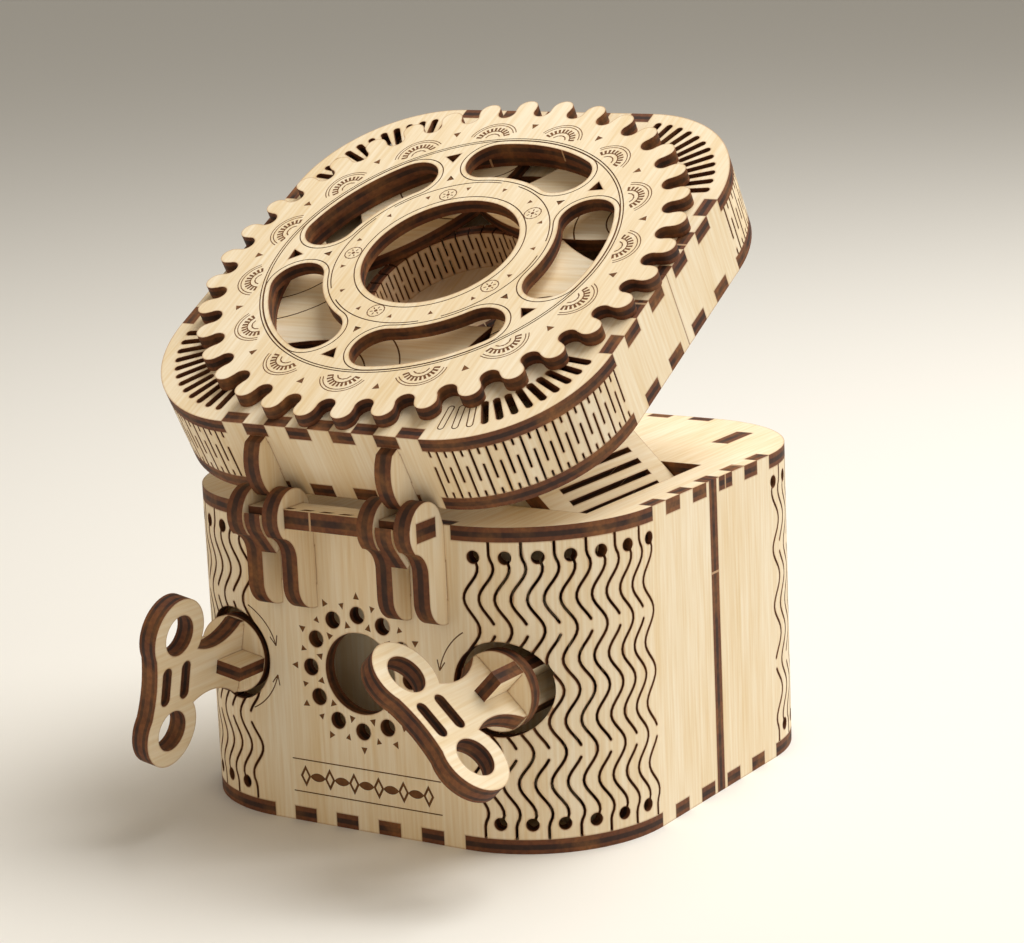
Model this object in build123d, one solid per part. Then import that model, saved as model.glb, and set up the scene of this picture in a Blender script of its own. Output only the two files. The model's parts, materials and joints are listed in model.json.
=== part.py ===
from build123d import *
import math
import os

# A laser-cut plywood treasure box: a rounded square box, a hinged lid, a ring gear on the
# lid that works a leaf iris over a round cup, and two keys that swing slotted doors up.
# Millimetres, +Z up, front (hinge and keys) at -Y, origin at the centre of the underside.

# ---------------------------------------------------------------- sheet and clearances
sheet = 3.4            # plywood of the box, lid, gear and keys
hinge_sheet = 4.4      # thicker plywood of the hinge pieces
fit_gap = 0.05         # each side of a tab in its slot
turn_gap = 0.08        # radial, round a turning piece
slide_gap = 0.1        # between flat faces that slide on each other
stop_gap = 0.3         # left between a moving piece and what stops it
leaf_sheet = sheet - 2 * slide_gap    # sanded plywood of the iris leaves

# ---------------------------------------------------------------- box
box_width = 120.4
box_depth = 122.6
box_height = 76.5
corner_radius = 33.0
finger_count = 9       # fingers and gaps along each straight edge
rib_reach = 6.0        # how far the side rib stands inside the wall
wall_y = -box_depth / 2
inner_half_width = box_width / 2 - sheet
inner_half_depth = box_depth / 2 - sheet

# ---------------------------------------------------------------- hinge
hinge_out = 7.0        # hinge line in front of the front wall
hinge_up = 0.2         # hinge line above the top of the box
hinge_head = 6.4       # radius of the bracket and arm heads
bar_wide = 7.4         # section of the hinge bar
bar_spacing = 10.0     # between the two brackets of one pair
pair_x = 18.2          # centre of each bracket pair
bracket_drop = 23.3    # bottom of a bracket below the hinge line
bracket_leg = 6.9      # how far the bracket leg stands off the wall
bracket_tenon = 9.0
bracket_tenon_drop = 1.5   # tenon below the middle of the bracket
bracket_toe_in = 2.0       # middle of the toe's round, in from the leg and up from the end
bracket_toe_up = 1.7
bracket_leg_low = 6.3      # straight front of the leg, up from the end
bracket_leg_high = 12.7
bracket_waist_up = 16.6    # middle of the curve from the leg to the head
bracket_waist_out = 1.3
bracket_head_arc = (225.0, 122.5, 20.0)   # degrees, round part of the head
bracket_top_drop = 0.5     # where the head meets the wall, below the box's top
arm_bulge = 6.6        # how far the arm stands off the lid wall
arm_tenon = 8.0
arm_tail = 7.6         # tail of the arm below the hinge line
arm_tail_out = 5.2     # front corner of the tail, in front of the hinge line
arm_tail_in = 2.9      # rear corner, behind the hinge line
arm_tail_slope = 1.0
arm_stop_in = 5.6      # where the tail's back leaves the head
arm_stop_drop = 3.4
arm_tenon_rise = 1.0   # tenon above the middle of the lid
arm_top_out = 2.4      # flat top end of the arm
arm_bulge_drop = 6.8   # fullest point of the bulge, below the arm's top
arm_waist_out = 5.6    # start and middle of the curve from the bulge to the head
arm_waist_up = 3.6
arm_neck_out = 7.6
arm_neck_up = 2.0
arm_head_arc = (140.0, 165.0, 188.0)      # degrees, round part of the head
arm_foot_drop = 0.2    # clearance corner where the arm passes the lid's lower edge
arm_foot_up = 0.3
lid_open_angle = 28.9  # the lid's opening at rest
hinge_y = wall_y - hinge_out
hinge_z = box_height + hinge_up

# ---------------------------------------------------------------- cup and iris
cup_inner = 20.4
leaf_count = 5
leaf_pivot_radius = 48.0
leaf_phase = 32.0      # degrees, angle of the first leaf's pivot
leaf_reach_shut = leaf_pivot_radius + 4.0
leaf_reach_open = leaf_pivot_radius + 6.5
leaf_gap = 0.15        # each side between neighbouring leaves
leaf_boss = 4.6        # radius of the leaf's eye
leaf_lug = 3.8         # radius round the drive pin
pin_radius = 1.5
pin_offset = 6.0       # drive pin from the leaf's pivot
cam_steps = 24         # points worked out along each cam slot
base_opening = leaf_pivot_radius - 4.5
frame_opening = leaf_pivot_radius - 2.0

# ---------------------------------------------------------------- lid and gear
lid_gap = 0.6          # between the shut lid and the box
lid_layers = 6         # sheets in the lid's stack, both plates included
lid_height = lid_layers * sheet
lid_z = box_height + lid_gap
gear_teeth = 36
gear_tip = 61.0
gear_root = 54.4
gear_lip = 0.7         # the gear's hole inside the cup's wall
gear_hole = cup_inner - gear_lip
tooth_share = 0.54     # of half the pitch, taken by a tooth's round tip
gear_phase = 6.0       # degrees, a tooth and a window are centred here
window_count = 5
window_inner = 29.2
window_outer = 42.8
window_sweep = 60.3    # degrees, end to end
drive_ring_inner = leaf_pivot_radius - 4.8
drive_ring_outer = leaf_pivot_radius + 5.0
gear_sweep = 48.0      # degrees the gear turns to shut the iris

# ---------------------------------------------------------------- keys and doors
key_x = 37.2
key_drop = 37.6        # key's axis below the top of the box
key_z = box_height - key_drop
disc_recess = 0.3      # collar behind the wall's outer face
key_sheet = 2.3        # each of the two thin plates of a handle
key_thick = 2 * key_sheet
bearing_radius = 8.5
collar_lip = 0.9       # rim of the collar past the shaft's bearings
collar_room = 1.8      # ring gap between the collar and the key hole
key_disc = bearing_radius + collar_lip   # round collar inside the key hole
key_hole = key_disc + collar_room
journal_radius = 6.0
handle_out = 24.2      # centre of the handle in front of the wall
lobe_radius = 8.9
lobe_offset = 11.9
finger_hole = 4.9
lobe_arc = (-120.0, 0.0, 125.0)   # degrees, round part of a lobe
bow_front = 6.9        # dip in the bow's front edge, in front of the lobes' centres
bow_front_mid = (4.0, 7.15)       # middle of the curve from the dip to a lobe
bow_flare = (5.6, 12.0)           # middle of the curve from a lobe to the shaft
shaft_root = 1.0       # full shaft starts this far in front of the wall
fin_front = 9.0        # the crossing fin's nose in front of the wall
fin_taper = 1.2        # how much narrower its nose is, each side
grip_slot_long = 9.4
grip_slot_wide = 3.2
grip_slot_pitch = 6.9
key_room = 14.2        # clear depth between the front wall and the front inner wall
front_bearing_y = wall_y + sheet + key_room
rear_bearing_y = 16.1
shaft_end = 0.3        # shaft's end inside the rear bearing wall's far face
lap_y = -18.0          # where the two crossed plates lap
handle_turn = {"right": 0.0, "left": -35.6}
door_open_angle = 44.0
door_rise = 28.6       # top face of the door above the key's axis
door_near = 10.0
door_far = 36.9
door_play = 1.0        # door behind the front bearing wall
door_front = front_bearing_y + sheet + door_play
door_back = 3.9        # door in front of the rear bearing wall
door_rear = rear_bearing_y - door_back
door_slots = 7
door_slot_wide = 1.4
door_slot_pitch = 3.6
door_margin_front = 8.6
door_margin_rear = 7.2
arm_hub = 12.0
arm_depth = 5.0        # depth of the arm's limb under the door
arm_inset = 0.7        # each arm in from the door's end
arm_tip_in = 1.0       # tip of the arm in from the door's edge
arm_root_drop = 6.0    # underside of the limb drops this much more at the hub
arm_flank = 8.4        # where the limb's top edge leaves the hub, both ways
opening_side = 10.2    # rim of the top plate beside the opening
opening_half = box_width / 2 - opening_side
opening_room_front = 0.9    # opening in front of the door
opening_room_rear = 0.6     # opening behind the door
opening_front = door_front - opening_room_front
opening_rear = door_rear + opening_room_rear

# ---------------------------------------------------------------- inner ribs
rib_x = 42.4
rib_tenon_front = 36.0
rib_tenon_rear = 49.2

# ---------------------------------------------------------------- front wall piercings
sun_drop = 38.0        # middle of the round hole below the top of the box
sun_z = box_height - sun_drop
sun_hole = 9.8
dot_ring = 14.0
dot_radius = 2.05
dot_count = 12


def finger_pitch(length):
    return length / finger_count


def finger_cells(width, depth, radius, cell_depth, play):
    """Rectangles at every other finger position along the four straight edges."""
    cells = []
    runs = ((width - 2 * radius, depth / 2, 0), (depth - 2 * radius, width / 2, 90))
    for length, reach, turn in runs:
        pitch = finger_pitch(length)
        for k in range(0, finger_count, 2):
            along = -length / 2 + pitch * (k + 0.5)
            for side in (-1, 1):
                cell = Rectangle(pitch - 2 * play, cell_depth)
                cells.append(Rot(0, 0, turn) * Pos(along, side * (reach - cell_depth / 2)) * cell)
    return cells


def notched_plate(width, depth, radius):
    """A rounded square plate whose edge is notched for the wall's fingers."""
    plate = RectangleRounded(width, depth, radius)
    return plate - finger_cells(width, depth, radius, sheet, 0)


def wrap_wall(width, depth, radius, height, side, seam_half):
    """Half of the bent wall up to its side seams, with fingers that pass through both plates."""
    ring = RectangleRounded(width, depth, radius)
    ring -= RectangleRounded(width - 2 * sheet, depth - 2 * sheet, radius - sheet)
    middle = Pos(0, 0, sheet) * extrude(ring, height - 2 * sheet)
    cells = Sketch() + finger_cells(width, depth, radius, sheet, fit_gap)
    wall = middle + extrude(ring & cells, height)
    half = Pos(0, side * (depth / 2 + seam_half), height / 2)
    return wall & half * Box(width * 2, depth, height * 2)


def cylinder_y(radius, x, y, z, length):
    """A cylinder along +Y that starts at y."""
    return Pos(x, y, z) * extrude(Plane.XZ * Circle(radius), -length)


# ================================================================ box
def make_base_plate():
    return extrude(notched_plate(box_width, box_depth, corner_radius), sheet)


def rib_tenon_cut(play):
    """Slots in the top plate for the tenons of the two rear ribs."""
    long = rib_tenon_rear - rib_tenon_front + 2 * play
    middle = (rib_tenon_rear + rib_tenon_front) / 2
    return [Pos(s * rib_x, middle) * Rectangle(hinge_sheet + 2 * play, long) for s in (-1, 1)]


def make_top_plate():
    plate = notched_plate(box_width, box_depth, corner_radius)
    middle = (opening_front + opening_rear) / 2
    plate -= Pos(0, middle) * Rectangle(2 * opening_half, opening_rear - opening_front)
    plate -= rib_tenon_cut(fit_gap)
    return Pos(0, 0, box_height - sheet) * extrude(plate, sheet)


def bracket_centres():
    return [s * pair_x + t * bar_spacing / 2 for s in (-1, 1) for t in (-1, 1)]


def tenon_z():
    return hinge_z - bracket_drop / 2 - bracket_tenon_drop


def rib_half():
    """Half of the seam that the side rib's edge fills."""
    return sheet / 2 + fit_gap


def make_front_wall():
    wall = wrap_wall(box_width, box_depth, corner_radius, box_height, -1, rib_half())
    for side in (-1, 1):
        wall -= cylinder_y(key_hole, side * key_x, wall_y - 1, key_z, corner_radius)
    wall -= cylinder_y(sun_hole, 0, wall_y - 1, sun_z, 2 * sheet)
    for k in range(dot_count):
        turn = math.radians(90 + 360 * k / dot_count)
        dot_x = dot_ring * math.cos(turn)
        dot_z = sun_z + dot_ring * math.sin(turn)
        wall -= cylinder_y(dot_radius, dot_x, wall_y - 1, dot_z, 2 * sheet)
    slot = Box(hinge_sheet + 2 * fit_gap, 4 * sheet, bracket_tenon + 2 * fit_gap)
    for x in bracket_centres():
        wall -= Pos(x, wall_y, tenon_z()) * slot
    return wall


def make_rear_wall():
    return wrap_wall(box_width, box_depth, corner_radius, box_height, 1, rib_half())


def make_side_rib(side):
    """Upright strip whose edge closes the seam between the front and rear walls."""
    outer = Pos(side * (box_width / 2 - sheet / 2), 0, box_height / 2) * Box(sheet, sheet, box_height)
    inner_tall = box_height - 2 * sheet
    inner_x = side * (inner_half_width - rib_reach / 2)
    inner = Pos(inner_x, 0, box_height / 2) * Box(rib_reach, sheet, inner_tall)
    return outer + inner


def inner_half_at(y):
    """Half width of the room inside the bent front wall at that depth."""
    centre_x = box_width / 2 - corner_radius
    into_corner = max(abs(y) - (box_depth / 2 - corner_radius), 0)
    return centre_x + math.sqrt((corner_radius - sheet) ** 2 - into_corner ** 2)


def make_bearing_wall(y, radius):
    """Inner cross wall that carries one end of both key shafts."""
    half_width = inner_half_at(y) - fit_gap
    tall = box_height - 2 * sheet
    wall = Pos(0, y + sheet / 2, box_height / 2) * Box(2 * half_width, sheet, tall)
    for side in (-1, 1):
        wall -= cylinder_y(radius, side * key_x, y - 1, key_z, 2 * sheet)
    return wall


def make_rear_rib(side):
    """Upright rib behind the rear bearing wall, with a tenon through the top plate."""
    front = rear_bearing_y + sheet
    inner_radius = corner_radius - sheet
    centre_x = box_width / 2 - corner_radius
    lean = rib_x + hinge_sheet / 2 - centre_x
    rear = box_depth / 2 - corner_radius + math.sqrt(inner_radius ** 2 - lean ** 2)
    body = Pos(0, (front + rear) / 2, box_height / 2)
    body *= Box(hinge_sheet, rear - front, box_height - 2 * sheet)
    tenon_long = rib_tenon_rear - rib_tenon_front
    tenon = Pos(0, (rib_tenon_front + rib_tenon_rear) / 2, box_height - sheet)
    tenon *= Box(hinge_sheet, tenon_long, 2 * sheet)
    return Pos(side * rib_x, 0, 0) * (body + tenon)


# ================================================================ hinge
def head_point(angle):
    turn = math.radians(angle)
    return (hinge_y + hinge_head * math.cos(turn), hinge_z + hinge_head * math.sin(turn))


def bar_hole():
    return Pos(hinge_y, hinge_z) * Rectangle(bar_wide + 2 * fit_gap, hinge_sheet + 2 * fit_gap)


def bracket_profile():
    """Side view of a bracket: a round head over a leg that ends in a rounded toe."""
    toe_z = hinge_z - bracket_drop
    leg_y = wall_y - bracket_leg
    toe = (wall_y, toe_z)
    toe_round = (leg_y + bracket_toe_in, toe_z + bracket_toe_up)
    leg_low = (leg_y, toe_z + bracket_leg_low)
    leg_high = (leg_y, toe_z + bracket_leg_high)
    waist = (leg_y - bracket_waist_out, toe_z + bracket_waist_up)
    head_low, head_mid, head_end = [head_point(angle) for angle in bracket_head_arc]
    top = (wall_y, box_height - bracket_top_drop)
    with BuildLine() as edge:
        ThreePointArc(toe, toe_round, leg_low)
        Line(leg_low, leg_high)
        ThreePointArc(leg_high, waist, head_low)
        ThreePointArc(head_low, head_mid, head_end)
        Line(head_end, top)
        Line(top, toe)
    return make_face(edge.line) - bar_hole()


def make_bracket(x):
    body = extrude(Plane.YZ * bracket_profile(), hinge_sheet / 2, both=True)
    body += Pos(0, wall_y + sheet / 2, tenon_z()) * Box(hinge_sheet, sheet, bracket_tenon)
    return Pos(x, 0, 0) * body


def make_hinge_bar():
    """The flat bar that all four brackets hold and both lid arms turn on."""
    reach = pair_x + bar_spacing / 2 + hinge_sheet / 2
    return Pos(0, hinge_y, hinge_z) * Box(2 * reach, bar_wide, hinge_sheet)


# ================================================================ lid
def open_lid(shape):
    """Turns a piece of the shut lid about the hinge bar to the open lid's place."""
    axis = Axis((0, hinge_y, hinge_z), (1, 0, 0))
    return shape.rotate(axis, lid_open_angle)


def lid_level(layer):
    """Height of a layer of the lid's stack, counted in sheets from its underside."""
    return lid_z + layer * sheet


def make_lid_top_plate():
    plate = notched_plate(box_width, box_depth, corner_radius) - Circle(drive_ring_outer)
    return Pos(0, 0, lid_z + lid_height - sheet) * extrude(plate, sheet)


def cup_outer():
    return cup_inner + sheet


def make_lid_bottom_plate():
    plate = notched_plate(box_width, box_depth, corner_radius) - Circle(cup_outer() + fit_gap)
    return Pos(0, 0, lid_z) * extrude(plate, sheet)


def arm_tenon_z():
    return lid_z + lid_height / 2 + arm_tenon_rise


def make_lid_front_wall():
    wall = Pos(0, 0, lid_z) * wrap_wall(box_width, box_depth, corner_radius, lid_height, -1, fit_gap)
    slot = Box(hinge_sheet + 2 * fit_gap, 4 * sheet, arm_tenon + 2 * fit_gap)
    for side in (-1, 1):
        wall -= Pos(side * pair_x, wall_y, arm_tenon_z()) * slot
    return wall


def make_lid_rear_wall():
    return Pos(0, 0, lid_z) * wrap_wall(box_width, box_depth, corner_radius, lid_height, 1, fit_gap)


def arm_profile():
    """Side view of a lid arm, shut: a bulged limb on the lid wall, a head and a tail."""
    top_z = lid_z + lid_height - sheet - fit_gap
    top_in = (wall_y, top_z)
    top_out = (wall_y - arm_top_out, top_z)
    bulge = (wall_y - arm_bulge, top_z - arm_bulge_drop)
    waist = (wall_y - arm_waist_out, lid_z + arm_waist_up)
    neck = (wall_y - arm_neck_out, lid_z + arm_neck_up)
    head_top, head_mid, head_low = [head_point(angle) for angle in arm_head_arc]
    tail_front = (hinge_y - arm_tail_out, hinge_z - arm_tail)
    tail_rear = (hinge_y + arm_tail_in, hinge_z - arm_tail - arm_tail_slope)
    stop_top = (hinge_y + arm_stop_in, hinge_z - arm_stop_drop)
    foot_low = (wall_y - stop_gap, lid_z - arm_foot_drop)
    foot_high = (wall_y, lid_z + arm_foot_up)
    with BuildLine() as edge:
        Line(top_in, top_out)
        ThreePointArc(top_out, bulge, waist)
        ThreePointArc(waist, neck, head_top)
        ThreePointArc(head_top, head_mid, head_low)
        Polyline(head_low, tail_front, tail_rear, stop_top, foot_low, foot_high, top_in)
    bar_corner = math.hypot(bar_wide, hinge_sheet) / 2
    return make_face(edge.line) - Pos(hinge_y, hinge_z) * Circle(bar_corner + turn_gap)


def make_lid_arm(side):
    body = extrude(Plane.YZ * arm_profile(), hinge_sheet / 2, both=True)
    body += Pos(0, wall_y + sheet / 2, arm_tenon_z()) * Box(hinge_sheet, sheet, arm_tenon)
    return Pos(side * pair_x, 0, 0) * body


def make_cup_floor():
    return Pos(0, 0, lid_z) * extrude(Circle(cup_outer()), sheet)


def make_cup_wall():
    ring = Circle(cup_outer()) - Circle(cup_inner)
    return Pos(0, 0, lid_level(1)) * extrude(ring, 3 * sheet)


def inner_outline():
    width = 2 * (inner_half_width - fit_gap)
    depth = 2 * (inner_half_depth - fit_gap)
    return RectangleRounded(width, depth, corner_radius - sheet - fit_gap)


def make_iris_frame(layer):
    """One of the two spacer frames that lift the iris above the lid's floor."""
    return Pos(0, 0, lid_level(layer)) * extrude(inner_outline() - Circle(frame_opening), sheet)


def leaf_pivot(index):
    turn = math.radians(leaf_phase + 360 * index / leaf_count)
    return (leaf_pivot_radius * math.cos(turn), leaf_pivot_radius * math.sin(turn))


def make_iris_base_plate():
    plate = inner_outline() - Circle(base_opening)
    for k in range(leaf_count):
        plate -= Pos(*leaf_pivot(k)) * Circle(pin_radius)
    return Pos(0, 0, lid_level(3)) * extrude(plate, sheet)


def make_leaf_pivots():
    """The five fixed pins that the leaves turn on."""
    pins = Part()
    for k in range(leaf_count):
        x, y = leaf_pivot(k)
        pins += Pos(x, y, lid_level(3)) * extrude(Circle(pin_radius), 2 * sheet - slide_gap)
    return pins


# ================================================================ iris leaves
def leaf_turn():
    """Degrees that a leaf turns between open and shut, so that open leaves clear the cup."""
    half_step = math.pi / leaf_count
    rise = math.sin(half_step) + cup_inner / (2 * leaf_pivot_radius)
    return 2 * (math.degrees(math.asin(rise)) - 180 / leaf_count)


def leaf_profile():
    """An open leaf whose pivot lies on +X, drawn shut first and then turned open.

    Both long edges are arcs as large as the spacing of the pivots, because the tip of each
    leaf slides along its neighbour's edge and traces just such an arc.
    """
    step = math.radians(360 / leaf_count)
    pivot = Vector(leaf_pivot_radius, 0)
    ahead = Vector(leaf_pivot_radius * math.cos(step), -leaf_pivot_radius * math.sin(step))
    behind = Vector(leaf_pivot_radius * math.cos(step), leaf_pivot_radius * math.sin(step))
    spacing = (pivot - ahead).length
    lead = pivot - ahead
    trail = behind - pivot
    leaf = Pos(lead.X, lead.Y) * Circle(spacing - leaf_gap)
    leaf -= Pos(trail.X, trail.Y) * Circle(spacing + leaf_gap)
    leaf &= Circle(leaf_reach_shut)
    turn = math.radians(leaf_turn())
    swing = Vector(pivot.X * (1 - math.cos(turn)), -pivot.X * math.sin(turn))
    leaf &= Pos(swing.X, swing.Y) * Circle(leaf_reach_open)
    lug = drive_pin_place(0) - pivot
    leaf += Pos(pivot.X, 0) * Circle(leaf_boss)
    leaf += Pos(pivot.X + lug.X, lug.Y) * Circle(leaf_lug)
    middle = pivot + lug * 0.5
    reach = lug.length
    bridge = Rot(0, 0, math.degrees(math.atan2(lug.Y, lug.X))) * Rectangle(reach, 2 * leaf_lug)
    leaf += Pos(middle.X, middle.Y) * bridge
    shut_to_open = Pos(pivot.X, 0) * Rot(0, 0, -leaf_turn()) * Pos(-pivot.X, 0)
    return shut_to_open * leaf


def drive_pin_place(opening):
    """Place of the drive pin on a leaf whose pivot lies on +X, opened by that many degrees."""
    start = 90 + leaf_turn() / 2
    turn = math.radians(start - opening)
    return Vector(leaf_pivot_radius + pin_offset * math.cos(turn), pin_offset * math.sin(turn))


def leaf_level():
    return lid_level(4) + slide_gap


def turned_to(index):
    return Rot(0, 0, leaf_phase + 360 * index / leaf_count)


def make_leaf(index):
    pin = drive_pin_place(leaf_turn())
    profile = leaf_profile() - Pos(leaf_pivot_radius, 0) * Circle(pin_radius + turn_gap)
    profile -= Pos(pin.X, pin.Y) * Circle(pin_radius)
    return Pos(0, 0, leaf_level()) * turned_to(index) * extrude(profile, leaf_sheet)


def make_leaf_pin(index):
    pin = drive_pin_place(leaf_turn())
    tall = leaf_sheet + sheet
    return turned_to(index) * Pos(pin.X, pin.Y, leaf_level()) * extrude(Circle(pin_radius), tall)


# ================================================================ gear
def make_ring_gear():
    """Ring gear with rounded teeth, a round middle hole and kidney windows."""
    level = lid_z + lid_height + slide_gap
    pitch_angle = 360 / gear_teeth
    mid_radius = (gear_tip + gear_root) / 2
    half_pitch = math.pi * mid_radius / gear_teeth
    tooth_round = half_pitch * tooth_share
    root_round = half_pitch * (1 - tooth_share)
    tip_centre = gear_tip - tooth_round
    stem_long = tip_centre - gear_root + sheet
    tooth = Pos(tip_centre, 0) * Circle(tooth_round)
    tooth += Pos(tip_centre - stem_long / 2, 0) * Rectangle(stem_long, 2 * tooth_round)
    valley = Pos(gear_root + root_round, 0) * Circle(root_round)
    outline = Circle(gear_root + root_round)
    teeth = [Rot(0, 0, gear_phase + pitch_angle * k) * tooth for k in range(gear_teeth)]
    valleys = [Rot(0, 0, gear_phase + pitch_angle * (k + 0.5)) * valley for k in range(gear_teeth)]
    outline = outline + teeth - valleys
    outline -= Circle(gear_hole)
    for k in range(window_count):
        outline -= Rot(0, 0, gear_phase + 360 * k / window_count) * window_profile()
    return Pos(0, 0, level) * extrude(outline, sheet)


def window_profile():
    """A kidney window centred on +X."""
    mean = (window_inner + window_outer) / 2
    half_wide = (window_outer - window_inner) / 2
    half_sweep = window_sweep / 2 - math.degrees(half_wide / mean)
    return arc_slot(mean, half_wide, -half_sweep, half_sweep)


def arc_slot(mean, half_wide, start, end):
    """A slot with round ends that follows an arc about the origin."""
    with BuildLine() as edge:
        inner = CenterArc((0, 0), mean - half_wide, start, end - start)
        outer = CenterArc((0, 0), mean + half_wide, start, end - start)
        Line(inner @ 1, outer @ 1)
        Line(outer @ 0, inner @ 0)
    slot = make_face(edge.line)
    for angle in (start, end):
        turn = math.radians(angle)
        slot += Pos(mean * math.cos(turn), mean * math.sin(turn)) * Circle(half_wide)
    return slot


def cam_slot():
    """The slanted slot that carries a leaf's drive pin, for a leaf whose pivot lies on +X."""
    half_wide = pin_radius + turn_gap
    line = []
    for k in range(cam_steps + 1):
        share = k / cam_steps
        pin = drive_pin_place(leaf_turn() * (1 - share))
        line.append(pin.rotate(Axis.Z, gear_sweep * share))
    left = []
    right = []
    for k, point in enumerate(line):
        before = line[max(k - 1, 0)]
        after = line[min(k + 1, cam_steps)]
        along = (after - before).normalized()
        side = Vector(-along.Y, along.X) * half_wide
        left.append(point + side)
        right.append(point - side)
    with BuildLine() as edge:
        one = Spline(*left)
        two = Spline(*right)
        Line(one @ 1, two @ 1)
        Line(two @ 0, one @ 0)
    slot = make_face(edge.line)
    for point in (line[0], line[-1]):
        slot += Pos(point.X, point.Y) * Circle(half_wide)
    return slot


def make_drive_ring():
    """Ring under the gear that turns in the lid's top plate and drives the five leaves."""
    ring = Circle(drive_ring_outer - turn_gap) - Circle(drive_ring_inner)
    for k in range(leaf_count):
        ring -= turned_to(k) * cam_slot()
    return Pos(0, 0, lid_z + lid_height - sheet + slide_gap) * extrude(ring, sheet)


# ================================================================ keys
def half_width(radius, thickness):
    """Half width of a plate of that thickness whose corners turn in a bore of that radius."""
    return math.sqrt((radius - turn_gap) ** 2 - (thickness / 2) ** 2)


def shaft_steps(thickness):
    """Half width and end of each stretch of a shaft plate, front to rear."""
    in_wall = half_width(key_disc, thickness)
    in_bearing = half_width(bearing_radius, thickness)
    in_journal = half_width(journal_radius, thickness)
    shoulder = wall_y + disc_recess
    end = rear_bearing_y + sheet - shaft_end
    return ((in_wall, shoulder), (in_bearing, rear_bearing_y - slide_gap), (in_journal, end))


def shaft_outline(thickness, start, start_half):
    """Stepped outline of a shaft plate, across (x) and along (y) the key's axis."""
    right = [(start_half, start)]
    for half, end in shaft_steps(thickness):
        if half != right[-1][0]:
            right.append((half, right[-1][1]))
        right.append((half, end))
    left = [(-x, y) for x, y in reversed(right)]
    return make_face(Polyline(*right, *left, close=True))


def bow_outline():
    """Outline of a bow plate: two finger lobes, a waist, and a stem that flares."""
    centre = wall_y - handle_out
    dip = (0, centre - bow_front)
    shoulder = (bow_front_mid[0], centre - bow_front_mid[1])
    flare = (bow_flare[0], centre + bow_flare[1])
    lobe = []
    for angle in lobe_arc:
        turn = math.radians(angle)
        lobe.append((lobe_offset + lobe_radius * math.cos(turn), centre + lobe_radius * math.sin(turn)))
    stem_half = shaft_steps(key_thick)[0][0]
    stem_y = wall_y - shaft_root
    with BuildLine() as half:
        ThreePointArc(dip, shoulder, lobe[0])
        ThreePointArc(*lobe)
        ThreePointArc(lobe[2], flare, (stem_half, stem_y))
        Polyline((stem_half, stem_y), (0, stem_y), dip)
    right = make_face(half.line)
    bow = right + mirror(right, Plane.YZ)
    for side in (-1, 1):
        bow -= Pos(side * lobe_offset, centre) * Circle(finger_hole)
        slot = SlotOverall(grip_slot_long, grip_slot_wide)
        bow -= Pos(0, centre + side * grip_slot_pitch / 2) * slot
    return bow + shaft_outline(key_thick, stem_y, stem_half)


def make_key_bow(layer):
    """One of the two plates of the handle, slotted at the rear for the crossing fin."""
    end = rear_bearing_y + sheet - shaft_end
    lap = Pos(0, (lap_y + end) / 2) * Rectangle(sheet + 2 * fit_gap, end - lap_y)
    outline = bow_outline() - lap
    return Pos(0, 0, (layer - 1) * key_sheet) * extrude(outline, key_sheet)


def make_key_fin():
    """The plate that crosses the bow plates and makes the shaft a cross in section."""
    front = wall_y - fin_front
    in_wall = shaft_steps(sheet)[0][0]
    outline = shaft_outline(sheet, front, in_wall - fin_taper)
    outline -= Pos(0, (front + lap_y) / 2) * Rectangle(key_thick + 2 * fit_gap, lap_y - front)
    fin = extrude(outline, sheet / 2, both=True)
    return Rot(0, 90, 0) * fin


def shaft_cross(play):
    """Section of the shaft between the bearings, across (x) and up (z)."""
    across = half_width(bearing_radius, key_thick) + play
    upright = half_width(bearing_radius, sheet) + play
    return Rectangle(2 * across, key_thick + 2 * play) + Rectangle(sheet + 2 * play, 2 * upright)


def make_key_disc():
    """Round collar on the shaft, inside the key hole of the front wall."""
    disc = Circle(key_disc) - shaft_cross(fit_gap)
    shoulder = wall_y + disc_recess
    return Pos(0, shoulder, 0) * extrude(Plane.XZ * disc, -sheet)


def make_door_arm(y, turn):
    """Arm from the shaft to the door, with a cross hole turned to suit the handle."""
    limb_top = door_rise - sheet
    tip = -door_far + arm_tip_in
    limb_low = limb_top - arm_depth
    top_edge = ((arm_flank, arm_flank), (-door_near, limb_top), (tip, limb_top))
    low_edge = ((tip + arm_tip_in, limb_low), (-arm_hub, limb_low - arm_root_drop), (-arm_hub, 0))
    limb = Polygon(*top_edge, *low_edge, align=None)
    arm = Circle(arm_hub) + limb - Rot(0, 0, turn) * shaft_cross(fit_gap)
    return Pos(0, y, 0) * extrude(Plane.XZ * arm, -sheet)


def make_door():
    """Slotted door that lies flat under the lid and swings up with its key."""
    wide = door_far - door_near
    long = door_rear - door_front
    door = Pos(-(door_far + door_near) / 2, (door_front + door_rear) / 2) * Rectangle(wide, long)
    slot_long = long - door_margin_front - door_margin_rear
    slot_y = (door_front + door_margin_front + door_rear - door_margin_rear) / 2
    for k in range(door_slots):
        slot_x = -(door_far + door_near) / 2 + (k - (door_slots - 1) / 2) * door_slot_pitch
        door -= Pos(slot_x, slot_y) * Rectangle(door_slot_wide, slot_long)
    return Pos(0, 0, door_rise - sheet) * extrude(door, sheet)


def place_key(shape, side, extra=0.0):
    """Turns a key piece to its open place on the right or the left of the box."""
    sign = 1 if side == "right" else -1
    turned = Rot(0, sign * door_open_angle + extra, 0) * shape
    return Pos(sign * key_x, 0, key_z) * turned


def handed(shape, side):
    """A right-hand piece, mirrored for the left side."""
    return shape if side == "right" else mirror(shape, Plane.YZ)


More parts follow.
